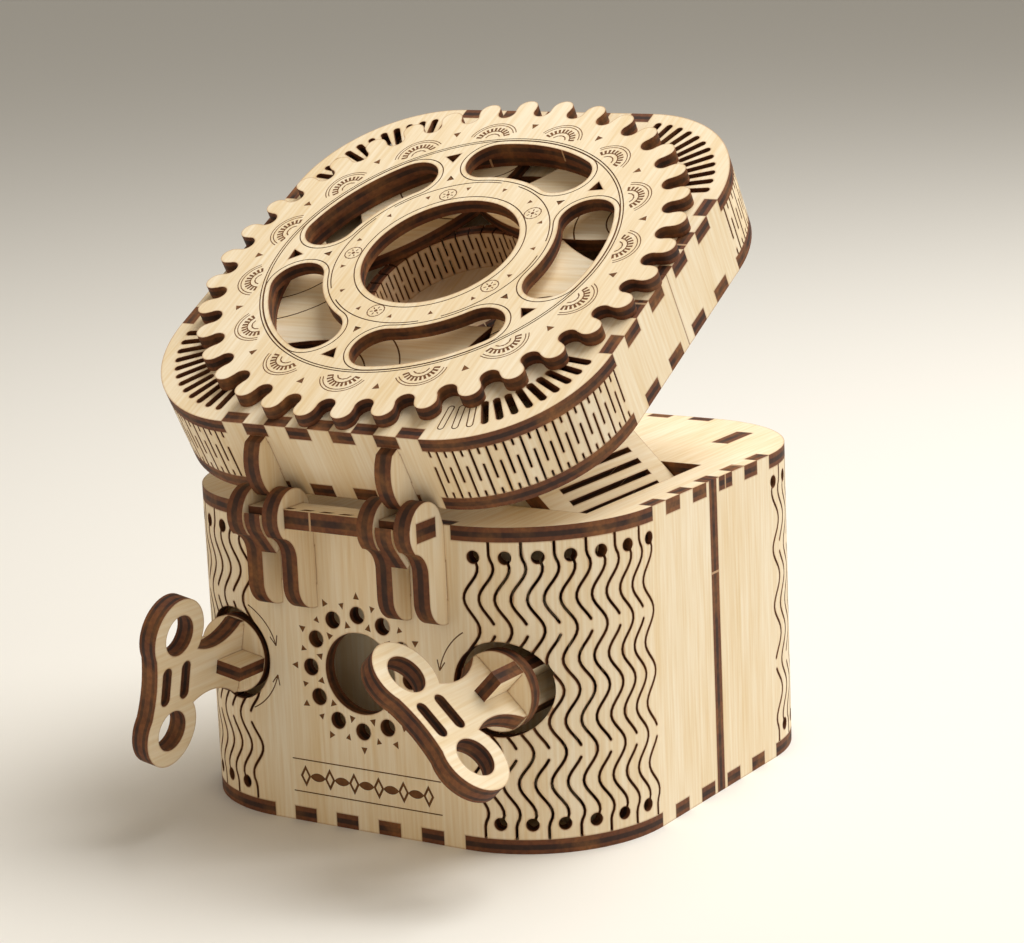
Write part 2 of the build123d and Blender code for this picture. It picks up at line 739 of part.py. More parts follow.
def key_nodes(side):
    turn = handle_turn[side]
    pieces = {
        "bow_lower": place_key(make_key_bow(0), side, turn),
        "bow_upper": place_key(make_key_bow(1), side, turn),
        "fin": place_key(make_key_fin(), side, turn),
        "disc": place_key(make_key_disc(), side, turn),
        "door": place_key(handed(make_door(), side), side),
    }
    cross = turn if side == "left" else 0.0
    arm_front = door_front + arm_inset
    arm_rear = door_rear - arm_inset - sheet
    for name, y in (("front", arm_front), ("rear", arm_rear)):
        arm = handed(make_door_arm(y, cross), side)
        pieces["door_arm_" + name] = place_key(arm, side)
    return {"key_" + side + "_" + name: shape for name, shape in pieces.items()}


# ================================================================ assembly
def all_nodes():
    nodes = {
        "base_plate": make_base_plate(),
        "top_plate": make_top_plate(),
        "front_wall": make_front_wall(),
        "rear_wall": make_rear_wall(),
        "side_rib_left": make_side_rib(-1),
        "side_rib_right": make_side_rib(1),
        "front_bearing_wall": make_bearing_wall(front_bearing_y, bearing_radius),
        "rear_bearing_wall": make_bearing_wall(rear_bearing_y, journal_radius),
        "rear_rib_left": make_rear_rib(-1),
        "rear_rib_right": make_rear_rib(1),
        "hinge_bar": make_hinge_bar(),
    }
    names = ("left_outer", "left_inner", "right_inner", "right_outer")
    for name, x in zip(names, bracket_centres()):
        nodes["hinge_bracket_" + name] = make_bracket(x)
    lid = {
        "lid_top_plate": make_lid_top_plate(),
        "lid_bottom_plate": make_lid_bottom_plate(),
        "lid_front_wall": make_lid_front_wall(),
        "lid_rear_wall": make_lid_rear_wall(),
        "lid_arm_left": make_lid_arm(-1),
        "lid_arm_right": make_lid_arm(1),
        "cup_floor": make_cup_floor(),
        "cup_wall": make_cup_wall(),
        "iris_frame_lower": make_iris_frame(1),
        "iris_frame_upper": make_iris_frame(2),
        "iris_base_plate": make_iris_base_plate(),
        "leaf_pivots": make_leaf_pivots(),
        "drive_ring": make_drive_ring(),
        "ring_gear": make_ring_gear(),
    }
    for k in range(leaf_count):
        lid["leaf_" + str(k + 1)] = make_leaf(k)
        lid["leaf_pin_" + str(k + 1)] = make_leaf_pin(k)
    for name, shape in lid.items():
        nodes[name] = open_lid(shape)
    for side in ("right", "left"):
        nodes.update(key_nodes(side))
    return nodes


os.makedirs("parts", exist_ok=True)
for node_name, node_shape in all_nodes().items():
    export_step(node_shape, "parts/" + node_name + ".step")
print("leaf turn", round(leaf_turn(), 4))
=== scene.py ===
import json
import math
import random
from types import SimpleNamespace

import bmesh
import bpy
from mathutils import Matrix, Vector
from mathutils.geometry import delaunay_2d_cdt


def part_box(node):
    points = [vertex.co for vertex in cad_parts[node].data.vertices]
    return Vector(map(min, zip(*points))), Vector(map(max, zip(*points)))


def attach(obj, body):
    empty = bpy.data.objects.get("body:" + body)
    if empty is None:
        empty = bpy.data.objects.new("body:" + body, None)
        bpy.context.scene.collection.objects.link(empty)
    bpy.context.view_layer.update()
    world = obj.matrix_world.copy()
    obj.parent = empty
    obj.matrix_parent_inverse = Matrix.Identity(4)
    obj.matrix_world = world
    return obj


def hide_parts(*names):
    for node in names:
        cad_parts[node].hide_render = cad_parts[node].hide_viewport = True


bl_info = {
    "name": "Plywood treasure box",
    "version": (1, 0, 0),
    "blender": (4, 5, 0),
    "location": "View3D > Sidebar > Treasure Box",
    "description": "Cuts, engraves and finishes a laser-cut plywood treasure box on its frame",
    "category": "Add Mesh",
}

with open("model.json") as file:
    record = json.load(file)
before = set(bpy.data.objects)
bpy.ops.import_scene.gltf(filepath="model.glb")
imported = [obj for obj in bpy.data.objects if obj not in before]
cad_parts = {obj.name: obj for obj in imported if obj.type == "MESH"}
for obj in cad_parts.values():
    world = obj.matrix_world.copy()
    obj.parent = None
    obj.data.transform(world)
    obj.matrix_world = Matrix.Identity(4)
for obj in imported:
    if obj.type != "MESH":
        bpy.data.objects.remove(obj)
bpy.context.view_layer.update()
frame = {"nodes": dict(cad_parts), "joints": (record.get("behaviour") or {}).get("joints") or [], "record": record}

MM = 0.001
FACE, EDGE, ENGRAVED = 0, 1, 2      # materials of a cut sheet
VOID, WHOLE, CARVED = 0, 1, 2       # what a part of a flat pattern is
MARK_RISE = 0.02                    # an inlaid mark above its sheet, in mm
CUP_SHADE_AND_SMOKE = 0.8                     # how far the whole cup is browned: painted shade for the dim inside of the cup, with some real charring
ALMOST_ROUND = 2 * math.pi * 0.999  # a circle drawn as an arc stops short of its own start
RECORD = frame["record"]
JOINTS = {joint["name"]: joint for joint in frame["joints"]}
BODY_OF = {node: body for body, nodes in RECORD["behaviour"]["bodies"].items() for node in nodes}
SLOT_OF = {part["node"]: part["material_slot"] for part in RECORD["subparts"]}
LID_NORMAL = Vector(JOINTS["gear_spin"]["axis"])
GEAR_CENTRE = Vector(JOINTS["gear_spin"]["pos_m"])
HINGE = Vector(JOINTS["lid_hinge"]["pos_m"])
LID_ANGLE = math.atan2(-LID_NORMAL.y, LID_NORMAL.z)


def linear_colour(hex_value):
    """An sRGB hex colour as the linear numbers that a shader takes."""
    channels = []
    for start in (0, 2, 4):
        value = int(hex_value[start:start + 2], 16) / 255
        low = value / 12.92
        high = ((value + 0.055) / 1.055) ** 2.4
        channels.append(low if value <= 0.04045 else high)
    return (*channels, 1.0)


def length(name, description, millimetres):
    """A length that the panel shows, with its default in millimetres."""
    return bpy.props.FloatProperty(
        name=name, description=description, default=millimetres * MM, unit="LENGTH", min=0.0)


def colour(name, description, hex_value):
    """A colour that the panel shows, with its default as an sRGB hex value."""
    return bpy.props.FloatVectorProperty(
        name=name, description=description, default=linear_colour(hex_value), size=4, subtype="COLOR")


def amount(name, description, default, least=1):
    """A whole number that the panel shows."""
    return bpy.props.IntProperty(name=name, description=description, default=default, min=least)


def rotation(name, description, degrees):
    """An angle that the panel shows, with its default in degrees."""
    return bpy.props.FloatProperty(
        name=name, description=description, default=math.radians(degrees), unit="ROTATION")


def sizes_of(group):
    """A property group's values, with its lengths in millimetres."""
    owner = getattr(bpy.context.scene, group)
    values = {}
    for key, shown in owner.bl_rna.properties.items():
        if key not in ("rna_type", "name"):
            value = getattr(owner, key)
            values[key] = value / MM if shown.unit == "LENGTH" else value
    return SimpleNamespace(**values)


# ------------------------------------------------------------------ sizes and colours
class SheetSizes(bpy.types.PropertyGroup):
    """How the laser marks a sheet."""
    scorch_width: length("Scorch width", "Browned rim beside each cut", 0.55)
    engrave_depth: length("Engraving depth", "Depth of an engraved line", 0.18)
    line_width: length("Line width", "Width of a thin engraved line", 0.3)
    nib_width: length("Nib width", "Uncharred nib where a piece was held in its sheet", 0.55)
    nib_spacing: length("Nib spacing", "From one nib to the next along an outline", 58.0)


class WallSizes(bpy.types.PropertyGroup):
    """The bent walls of the box and their wavy slits."""
    corner_radius: length("Corner radius", "Outer radius of the box's corners", 33.0)
    slit_pitch: length("Slit pitch", "From one wavy slit to the next", 3.717)
    slit_shift: length("Slit shift", "Middle slit beyond the middle of a corner", 0.85)
    slit_width: length("Slit width", "Width of a wavy slit", 0.68)
    wave_reach: length("Wave reach", "Half the side to side travel of a wave", 1.85)
    wave_length: length("Wave length", "Height of one wave", 14.4)
    dot_radius: length("Dot radius", "Hole at the closed end of a slit", 1.55)
    dot_inset: length("Dot inset", "Middle of a dot from the wall's edge", 7.0)
    bridge: length("Bridge", "Wood left across a slit", 2.9)
    bridge_share: bpy.props.FloatProperty(
        name="Bridge place", description="Bridge from a slit's open end, as a share of the wall",
        default=0.31, subtype="FACTOR")
    slits: amount("Slits", "Wavy slits at each corner", 13)


class LidSizes(bpy.types.PropertyGroup):
    """The bent walls of the lid and the vents of its top plate."""
    slit_pitch: length("Slit pitch", "From one straight slit to the next", 1.95)
    slit_width: length("Slit width", "Width of a straight slit", 0.5)
    vent_inner: length("Vent start", "Start of a vent from the corner's centre", 21.3)
    vent_outer: length("Vent end", "End of a vent from the corner's centre", 29.5)
    vent_width: length("Vent width", "Width of a vent", 1.75)
    vent_count: amount("Vents", "Vents at each corner", 12, 2)
    blind_vents: amount("Blind vents", "Vents of the front right corner that are only outlined", 3, 0)


class GearSizes(bpy.types.PropertyGroup):
    """Engraving and piercing of the ring gear."""
    phase: rotation("Phase", "Angle of a tooth's middle", 6)
    windows: amount("Windows", "Kidney windows", 5)
    arches: amount("Arches", "Engraved toothed arches", 15)
    arch_ring: length("Arch ring", "Circle that the arches stand on", 45.6)
    arch_radius: length("Arch radius", "Toothed part of an arch", 4.6)
    hoop_radius: length("Hoop radius", "Double line over an arch", 6.3)
    line_ring: length("Line ring", "Double line inside the arches", 44.6)
    triangle_ring: length("Triangle ring", "Circle of the small triangles", 50.2)
    hub_ring: length("Hub line", "Line round the hub", 27.1)
    bore_ring: length("Bore line", "Line round the middle hole", 21.3)
    pointer_ring: length("Pointer ring", "Circle of the hub's triangles", 24.7)
    badge_ring: length("Badge ring", "Circle of the round badges", 23.6)
    badge_radius: length("Badge radius", "Radius of a round badge", 2.2)
    window_inner: length("Window inner", "Inner radius of a window", 29.2)
    window_outer: length("Window outer", "Outer radius of a window", 42.8)
    window_sweep: rotation("Window sweep", "Angle of a window, end to end", 60.3)
    window_rim: length("Window rim", "Line outside each window", 1.3)


class FrontMarks(bpy.types.PropertyGroup):
    """Engraving on the front wall."""
    sun_height: length("Sun height", "Middle of the pierced ring of dots", 38.5)
    key_reach: length("Key reach", "Key hole from the middle of the wall", 37.2)
    key_height: length("Key height", "Middle of a key hole", 38.9)
    key_hole: length("Key hole", "Radius of a key hole", 11.2)
    ray_ring: length("Ray ring", "Circle of the outermost triangles", 18.5)
    mid_ring: length("Middle ring", "Circle of the triangles between the dots", 15.4)
    inner_ring: length("Inner ring", "Circle of the innermost triangles", 11.7)
    rays: amount("Rays", "Triangles in each circle", 12, 3)
    band_height: length("Band height", "Middle of the ornament band", 11.3)


class WoodColours(bpy.types.PropertyGroup):
    """Colours of the wood, the burnt edges and the stage."""
    pale: colour("Pale wood", "Lightest grain of the sheet", "F5E7CD")
    grain: colour("Grain", "Darker grain of the sheet", "E6CDA2")
    scorch: colour("Scorch", "Browned rim beside a cut", "A06A34")
    edge: colour("Burnt edge", "Outer plies of a cut edge", "6A3A1C")
    core: colour("Burnt core", "Middle ply of a cut edge", "351A0C")
    engraving: colour("Engraving", "Floor of an engraved line", "4C2C14")
    dowel: colour("Dowel", "Turned pins", "D9B780")
    floor: colour("Floor", "Stage floor", "ECEAE6")


# ------------------------------------------------------------------ materials
def add(tree, kind, inputs=None, **settings):
    """Adds a node to a tree with its settings, its values and its links."""
    made = tree.nodes.new(kind)
    for key, value in settings.items():
        setattr(made, key, value)
    for key, value in (inputs or {}).items():
        if isinstance(value, bpy.types.NodeSocket):
            tree.links.new(value, made.inputs[key])
        else:
            made.inputs[key].default_value = value
    return made


def noise(tree, vector, scale, detail):
    """A noise pattern's value."""
    inputs = {"Vector": vector, "Scale": scale, "Detail": detail}
    return add(tree, "ShaderNodeTexNoise", inputs).outputs["Fac"]


def spread(tree, value, low, high, to_low=0.0, to_high=1.0):
    """A value's stretch from low to high, spread over another stretch."""
    inputs = {"Value": value, "From Min": low, "From Max": high, "To Min": to_low, "To Max": to_high}
    return add(tree, "ShaderNodeMapRange", inputs).outputs["Result"]


def blend(tree, factor, first, second):
    """A colour between two others."""
    inputs = {"Factor": factor, "A": first, "B": second}
    return add(tree, "ShaderNodeMix", inputs, data_type="RGBA").outputs["Result"]


def bump(tree, height, strength, distance):
    """A surface normal raised by a pattern, with its distance in metres."""
    inputs = {"Height": height, "Strength": strength, "Distance": distance}
    return add(tree, "ShaderNodeBump", inputs).outputs["Normal"]


def new_tree(name):
    """An empty node material, its tree, and the colours that the panel shows."""
    material = bpy.data.materials.new(name)
    material.use_nodes = True
    material.node_tree.nodes.clear()
    return material, material.node_tree, bpy.context.scene.wood_colours


def surface(tree, inputs):
    """Ends a material's tree with its shader."""
    shader = add(tree, "ShaderNodeBsdfPrincipled", inputs)
    add(tree, "ShaderNodeOutputMaterial", {"Surface": shader.outputs["BSDF"]})


def basswood_face():
    """Sanded basswood ply: a soft satin face with fine straight grain and faint growth bands."""
    material, tree, wood = new_tree("basswood_ply_sanded_face")
    sheet = add(tree, "ShaderNodeUVMap", uv_map="sheet").outputs["UV"]
    # pores are about 0.9 mm across and 22 mm long
    fine = add(tree, "ShaderNodeMapping", {"Vector": sheet, "Scale": (1 / 0.0009, 1 / 0.022, 1)})
    fibre = noise(tree, fine.outputs["Vector"], 1.0, 4.0)
    # growth bands are about 9 mm apart and run the whole length of a sheet
    wide = add(tree, "ShaderNodeMapping", {"Vector": sheet, "Scale": (1 / 0.009, 1 / 0.11, 1)})
    band = noise(tree, wide.outputs["Vector"], 1.0, 2.0)
    mixed = add(tree, "ShaderNodeMix", {"Factor": 0.42, "A": fibre, "B": band}, data_type="FLOAT")
    base = blend(tree, spread(tree, mixed.outputs["Result"], 0.38, 0.66), wood.pale, wood.grain)
    # smoke browns the last half millimetre beside a cut; the same mask also browns the whole cup, painted shade
    # for its dim inside with some real charring
    rim = add(tree, "ShaderNodeAttribute", attribute_name="scorch")
    smoke = add(tree, "ShaderNodeMath", {0: rim.outputs["Fac"], 1: 2.2}, operation="POWER")
    browned = add(tree, "ShaderNodeMath", {0: smoke.outputs["Value"], 1: 0.7}, operation="MULTIPLY")
    surface(tree, {"Base Color": blend(tree, browned.outputs["Value"], base, wood.scorch),
                   "Normal": bump(tree, fibre, 0.25, 0.00008), "Roughness": 0.58, "IOR": 1.45})
    return material


def laser_edge():
    """Laser-cut ply edge: charred brown with darker core ply, glue lines and cut striations."""
    material, tree, wood = new_tree("laser_cut_ply_edge_charred")
    sheet = add(tree, "ShaderNodeUVMap", uv_map="sheet")
    across = add(tree, "ShaderNodeSeparateXYZ", {"Vector": sheet.outputs["UV"]})
    # the core ply fills the middle third of the edge, and the outer plies are browner
    ply = add(tree, "ShaderNodeValToRGB", {"Fac": across.outputs["Y"]})
    ramp = ply.color_ramp
    ramp.elements.remove(ramp.elements[1])
    ramp.elements[0].color = wood.edge
    for place, shade in ((0.27, wood.edge), (0.33, wood.core), (0.62, wood.core), (0.7, wood.edge)):
        ramp.elements.new(place).color = shade
    place = add(tree, "ShaderNodeTexCoord").outputs["Object"]
    # striations of the beam are about 0.3 mm apart, drawn near 1 mm so that they show
    streak = noise(tree, place, 900.0, 2.0)
    lift = spread(tree, noise(tree, place, 120.0, 3.0), 0.45, 0.75, 0.0, 0.5)
    shaded = add(tree, "ShaderNodeVectorMath", {
        0: blend(tree, lift, ply.outputs["Color"], wood.scorch),
        "Scale": spread(tree, streak, 0.35, 0.65, 0.72, 1.1)}, operation="SCALE")
    surface(tree, {"Base Color": shaded.outputs["Vector"],
                   "Normal": bump(tree, streak, 0.3, 0.0001), "Roughness": 0.72})
    return material


def laser_engraving():
    """Laser-engraved basswood: a matt brown scorched floor with a raster grain of about 1.4 mm."""
    material, tree, wood = new_tree("laser_engraved_basswood")
    grit = noise(tree, add(tree, "ShaderNodeTexCoord").outputs["Object"], 700.0, 2.0)
    shade = blend(tree, spread(tree, grit, 0.0, 1.0, 0.0, 0.6), wood.engraving, wood.scorch)
    surface(tree, {"Base Color": shade, "Roughness": 0.85})
    return material


def birch_dowel():
    """Turned birch dowel: pale end grain with fine rings of pores."""
    material, tree, wood = new_tree("birch_dowel_turned")
    # pores of end grain are about 0.3 mm apart, drawn near 0.7 mm
    pores = noise(tree, add(tree, "ShaderNodeTexCoord").outputs["Object"], 1500.0, 2.0)
    shade = blend(tree, spread(tree, pores, 0.3, 0.7), wood.dowel, wood.scorch)
    surface(tree, {"Base Color": shade, "Roughness": 0.6})
    return material


def finish_named(name):
    """The finish of that name, made the first time it is asked for."""
    makers = {"face": basswood_face, "edge": laser_edge, "engraved": laser_engraving, "dowel": birch_dowel}
    known = bpy.context.scene.get("finish_" + name)
    if known is None:
        known = makers[name]()
        bpy.context.scene["finish_" + name] = known
    return known


# ------------------------------------------------------------------ outlines in a sheet's plane, in mm
def disc(x, y, radius, steps=28):
    """Points of a circle, anticlockwise."""
    turn = 2 * math.pi / steps
    return [(x + radius * math.cos(k * turn), y + radius * math.sin(k * turn)) for k in range(steps)]


def arc_points(radius, start, end, step=1.2, centre=(0.0, 0.0)):
    """Points along an arc from start to end, in radians, no further apart than step."""
    count = max(2, math.ceil(abs(end - start) * radius / step))
    turns = [start + (end - start) * k / count for k in range(count + 1)]
    return [(centre[0] + radius * math.cos(a), centre[1] + radius * math.sin(a)) for a in turns]


def arc_band(radius, width, start, end, centre=(0.0, 0.0)):
    """Outline of a narrow band that follows an arc."""
    outer = arc_points(radius + width / 2, start, end, centre=centre)
    inner = arc_points(radius - width / 2, end, start, centre=centre)
    return outer + inner


def ring_band(radius, width, steps=180):
    """Two circles that bound a full ring."""
    return [disc(0, 0, radius + width / 2, steps), disc(0, 0, radius - width / 2, steps)]


def path_band(path, width, capped=True):
    """Outline of a narrow band that follows an open path, with round ends if it is capped."""
    left, right = [], []
    for k, (x, y) in enumerate(path):
        before, after = path[max(k - 1, 0)], path[min(k + 1, len(path) - 1)]
        along = Vector((after[0] - before[0], after[1] - before[1])).normalized()
        side = Vector((-along.y, along.x)) * width / 2
        left.append((x + side.x, y + side.y))
        right.append((x - side.x, y - side.y))
    left.reverse()
    if capped:
        return right + end_cap(path[-2], path[-1], width / 2) + left + end_cap(path[1], path[0], width / 2)
    return right + left


def end_cap(before, end, radius):
    """Points round the end of a band, between its two corners."""
    heading = math.atan2(end[1] - before[1], end[0] - before[0])
    turns = [heading + math.radians(a) for a in (-45, 0, 45)]
    return [(end[0] + radius * math.cos(a), end[1] + radius * math.sin(a)) for a in turns]


def turned(outline, angle, x=0.0, y=0.0):
    """An outline turned about the origin and then moved."""
    c, s = math.cos(angle), math.sin(angle)
    return [(x + px * c - py * s, y + px * s + py * c) for px, py in outline]


def round_slot(x_start, x_end, width):
    """A straight slot with round ends along +X."""
    radius = width / 2
    far = arc_points(radius, -math.pi / 2, math.pi / 2, 0.25, (x_end - radius, 0))
    near = arc_points(radius, math.pi / 2, 3 * math.pi / 2, 0.25, (x_start + radius, 0))
    return far + near


def triangle(size):
    """A small triangle that points along +X."""
    return [(size * 0.6, 0), (-size * 0.4, size * 0.5), (-size * 0.4, -size * 0.5)]


def signed_area(outline):
    """Area of an outline, above zero where it runs anticlockwise."""
    pairs = zip(outline, outline[1:] + outline[:1])
    return sum(a[0] * b[1] - b[0] * a[1] for a, b in pairs) / 2


def anticlockwise(outline):
    """The outline with its inside on its left."""
    return outline if signed_area(outline) > 0 else outline[::-1]


def offset_ring(outline, distance):
    """The outline moved sideways to its left, point by point, without its folds."""
    shortest, sharpest, least_spread = 1e-5, 0.3, 0.5
    moved = []
    count = len(outline)
    for k, point in enumerate(outline):
        here = Vector(point)
        ahead = Vector(outline[(k + 1) % count]) - here
        behind = here - Vector(outline[k - 1])
        if ahead.length < shortest or behind.length < shortest:
            continue
        ahead.normalize()
        behind.normalize()
        bisector = Vector((-ahead.y - behind.y, ahead.x + behind.x))
        if bisector.length < sharpest:
            continue
        bisector.normalize()
        share = max(bisector.dot(Vector((-ahead.y, ahead.x))), least_spread)
        moved.append(tuple(here + bisector * distance / share))
    return moved


def with_nibs(outline, width, spacing):
    """The outline with both ends of each nib added as points, and the nibs' middles."""
    total = sum(math.dist(a, b) for a, b in zip(outline, outline[1:] + outline[:1]))
    count = int(total / spacing)
    first = 0.37
    wanted = [total * (k + first) / count for k in range(count)]
    points, middles, run = [], [], 0.0
    for start, end in zip(outline, outline[1:] + outline[:1]):
        points.append(start)
        side = math.dist(start, end)
        while wanted and wanted[0] < run + side:
            place = wanted.pop(0) - run
            if width < place < side - width:
                for moved in (place - width / 2, place + width / 2):
                    points.append(tuple(a + (b - a) * moved / side for a, b in zip(start, end)))
                middles.append(tuple(a + (b - a) * place / side for a, b in zip(start, end)))
        run += side
    return points, middles


# ------------------------------------------------------------------ cutting a sheet
class Plan:
    """A sheet's flat pattern: outlines with the wood on their left, cuts, and engraved marks."""

    def __init__(self, outlines):
        sizes = sizes_of("sheet_sizes")
        self.outlines, self.nibs = [], []
        for outline in outlines:
            marked, middles = with_nibs(outline, sizes.nib_width, sizes.nib_spacing)
            self.outlines.append(marked)
            self.nibs += middles
        self.cuts, self.marks, self.guides = [], [], []

    def triangulate(self):
        """Splits the pattern into triangles, each void, whole or carved."""
        points, faces, kinds, edges = [], [], [], []

        def enter(outline, kind):
            start = len(points)
            points.extend(Vector(p) for p in anticlockwise(outline))
            faces.append(list(range(start, len(points))))
            kinds.append(kind)

        def enter_line(line, closed):
            start = len(points)
            points.extend(Vector(p) for p in line)
            edges.extend((k, k + 1) for k in range(start, len(points) - 1))
            if closed:
                edges.append((len(points) - 1, start))

        scorch = sizes_of("sheet_sizes").scorch_width
        for outline in self.outlines:
            enter(outline, "wood" if signed_area(outline) > 0 else "hole")
            enter_line(offset_ring(outline, scorch), True)
        for cut in self.cuts:
            enter(cut, "hole")
            enter_line(offset_ring(anticlockwise(cut)[::-1], scorch), True)
        for number, group in enumerate(self.marks):
            for outline in group:
                enter(outline, number)
        for line in self.guides:
            enter_line(line, False)
        found = delaunay_2d_cdt(points, edges, faces, 0, 1e-4)
        levels = []
        for sources in found[5]:
            held = [kinds[k] for k in sources]
            carved = any(held.count(kind) % 2 for kind in set(held) - {"wood", "hole"})
            if "wood" not in held or "hole" in held:
                levels.append(VOID)
            else:
                levels.append(CARVED if carved else WHOLE)
        return found[0], found[2], levels


def sheet_mesh(name, plan, low, high, place, along="v", smoke=0.0):
    """The solid mesh of a cut sheet. Place turns (a, b, height) in mm into a point."""
    points2d, triangles, levels = plan.triangulate()
    nib_reach, floor_share, sharp = 0.1, 0.9, math.radians(28)
    tops = {WHOLE: high, CARVED: high - sizes_of("sheet_sizes").engrave_depth}
    beside = {}
    for number, corners in enumerate(triangles):
        for k, start in enumerate(corners):
            beside[(start, corners[(k + 1) % 3])] = levels[number]
    rim = set()
    for (start, end), level in beside.items():
        if level and not beside.get((end, start), VOID):
            rim.update((start, end))
    shift = random.Random(name)
    drift = Vector((shift.uniform(0, 1), shift.uniform(0, 1)))
    vertices, scorch, known = [], [], {}
    faces, kinds, uvs = [], [], []

    def vertex(point, height):
        key = (point, height)
        if key not in known:
            known[key] = len(vertices)
            flat = points2d[point]
            vertices.append(place(flat.x, flat.y, height))
            # off the rim a vertex takes the sheet's base browning: for the cup this is painted shade for its dim
            # inside, with some real charring
            scorch.append(1.0 if point in rim else smoke)
        return known[key]

    def grain(point):
        flat = points2d[point] * MM
        pair = (flat.x, flat.y) if along == "v" else (flat.y, flat.x)
        return (pair[0] + drift.x, pair[1] + drift.y)

    def face(corners, kind, uv):
        faces.append(corners)
        kinds.append(kind)
        uvs.extend(uv)

    for number, corners in enumerate(triangles):
        level = levels[number]
        if not level:
            continue
        top = tops[level]
        under = corners[::-1]
        upper = FACE if level == WHOLE else ENGRAVED
        face([vertex(p, top) for p in corners], upper, [grain(p) for p in corners])
        face([vertex(p, low) for p in under], FACE, [grain(p) for p in under])
        for k, start in enumerate(corners):
            end = corners[(k + 1) % 3]
            other = beside.get((end, start), VOID)
            ends = [(points2d[p].x + points2d[p].y) * MM for p in (start, end)]
            if not other:
                share = (top - low) / (high - low)
                uv = [(ends[0], 0), (ends[1], 0), (ends[1], share), (ends[0], share)]
                quad = [vertex(start, low), vertex(end, low), vertex(end, top), vertex(start, top)]
                middle = (points2d[start] + points2d[end]) / 2
                nib = any(math.dist(middle, spot) < nib_reach for spot in plan.nibs)
                face(quad, FACE if nib else EDGE, uv)
            elif level == WHOLE and other == CARVED:
                floor = tops[CARVED]
                quad = [vertex(start, floor), vertex(end, floor), vertex(end, top), vertex(start, top)]
                uv = [(ends[0], floor_share), (ends[1], floor_share), (ends[1], 1), (ends[0], 1)]
                face(quad, ENGRAVED, uv)
    mesh = bpy.data.meshes.new(name)
    mesh.from_pydata(vertices, [], faces)
    for finish in ("face", "edge", "engraved"):
        mesh.materials.append(finish_named(finish))
    mesh.polygons.foreach_set("material_index", kinds)
    layer = mesh.uv_layers.new(name="sheet")
    layer.data.foreach_set("uv", [value for pair in uvs for value in pair])
    # the scorch mask: real scorch at the rim, and on the cup also painted shade for its dim inside
    brown = mesh.attributes.new("scorch", "FLOAT", "POINT")
    brown.data.foreach_set("value", scorch)
    mesh.update()
    mesh.polygons.foreach_set("use_smooth", [True] * len(faces))
    mesh.set_sharp_from_angle(angle=sharp)
    return mesh


def linked(name, data):
    """A new object in the scene."""
    made = bpy.data.objects.new(name, data)
    bpy.context.scene.collection.objects.link(made)
    return made


def show(name, mesh, body, slot, *nodes):
    """Puts a finished mesh in the scene, on its body, in place of the frame's nodes."""
    piece = linked(name, mesh)
    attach(piece, body)
    if nodes:
        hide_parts(*nodes)


def show_sheet(node, plan, low, high, place, **looks):
    """Cuts a pattern and shows it in place of one CAD node."""
    mesh = sheet_mesh(node + "_ply", plan, low, high, place, **looks)
    show(node + "_ply", mesh, BODY_OF[node], SLOT_OF[node], node)


# ------------------------------------------------------------------ reading the frame
def merged(node):
    """A welded copy of a frame node's mesh."""
    solid = bmesh.new()
    solid.from_mesh(frame["nodes"][node].data)
    bmesh.ops.remove_doubles(solid, verts=solid.verts, dist=1e-7)
    return solid


def corners_of(node):
    """A node's corners, measured from the gear's axis point."""
    solid = merged(node)
    corners = [v.co - GEAR_CENTRE for v in solid.verts]
    solid.free()
    return corners


def sheet_normal(solid):
    """The direction that most of a sheet's flat area faces."""
    areas = {}
    for face in solid.faces:
        normal = face.normal
        strong = max(normal, key=abs)
        normal = normal if strong > 0 else -normal
        key = tuple(round(c, 2) + 0.0 for c in normal)
        total, direction = areas.get(key, (0.0, normal.copy()))
        areas[key] = (total + face.calc_area(), direction)
    return max(areas.values(), key=lambda entry: entry[0])[1]


def rim_outlines(faces, flatten):
    """Closed outlines round a set of faces, flattened, with the faces on their left."""
    inside = set(faces)
    following = {}
    for face in faces:
        for corner in face.loops:
            if not any(other in inside for other in corner.edge.link_faces if other is not face):
                following.setdefault(corner.vert, []).append(corner.link_loop_next.vert)
    outlines = []
    while following:
        start = next(iter(following))
        vert, outline = start, []
        while vert in following:
            outline.append(flatten(vert.co))
            ahead = following[vert].pop()
            if not following[vert]:
                del following[vert]
            vert = ahead
            if vert is start:
                break
        if len(outline) > 2:
            outlines.append(outline)
    return outlines


def flat_basis(normal):
    """Two directions in a sheet's plane, square to each other."""
    across = Vector((1, 0, 0)) - normal * normal.x
    if across.length < 0.1:
        across = Vector((0, 1, 0))
    across.normalize()
    return across, normal.cross(across)


def read_sheet(node, origin=Vector((0, 0, 0))):
    """The flat pattern of a CAD sheet, its faces' heights, and the map back to the frame."""
    solid = merged(node)
    normal = sheet_normal(solid)
    across, upward = flat_basis(normal)
    heights = [(v.co - origin).dot(normal) for v in solid.verts]
    low, high = min(heights), max(heights)
    tops = [f for f in solid.faces
            if f.normal.dot(normal) > 0.99
            and abs((f.calc_center_median() - origin).dot(normal) - high) < 2e-5]

    def flatten(point):
        local = point - origin
        return (local.dot(across) / MM, local.dot(upward) / MM)

    def place(a, b, height):
        return origin + (across * a + upward * b + normal * height) * MM

    plan = Plan(rim_outlines(tops, flatten))
    solid.free()
    return plan, low / MM, high / MM, place


def cut_piece(node, origin=Vector((0, 0, 0)), change=None, **looks):
    """Rebuilds one CAD sheet as cut plywood; change adds cuts and marks to its pattern."""
    plan, low, high, place = read_sheet(node, origin)
    if change:
        change(plan)
    show_sheet(node, plan, low, high, place, **looks)


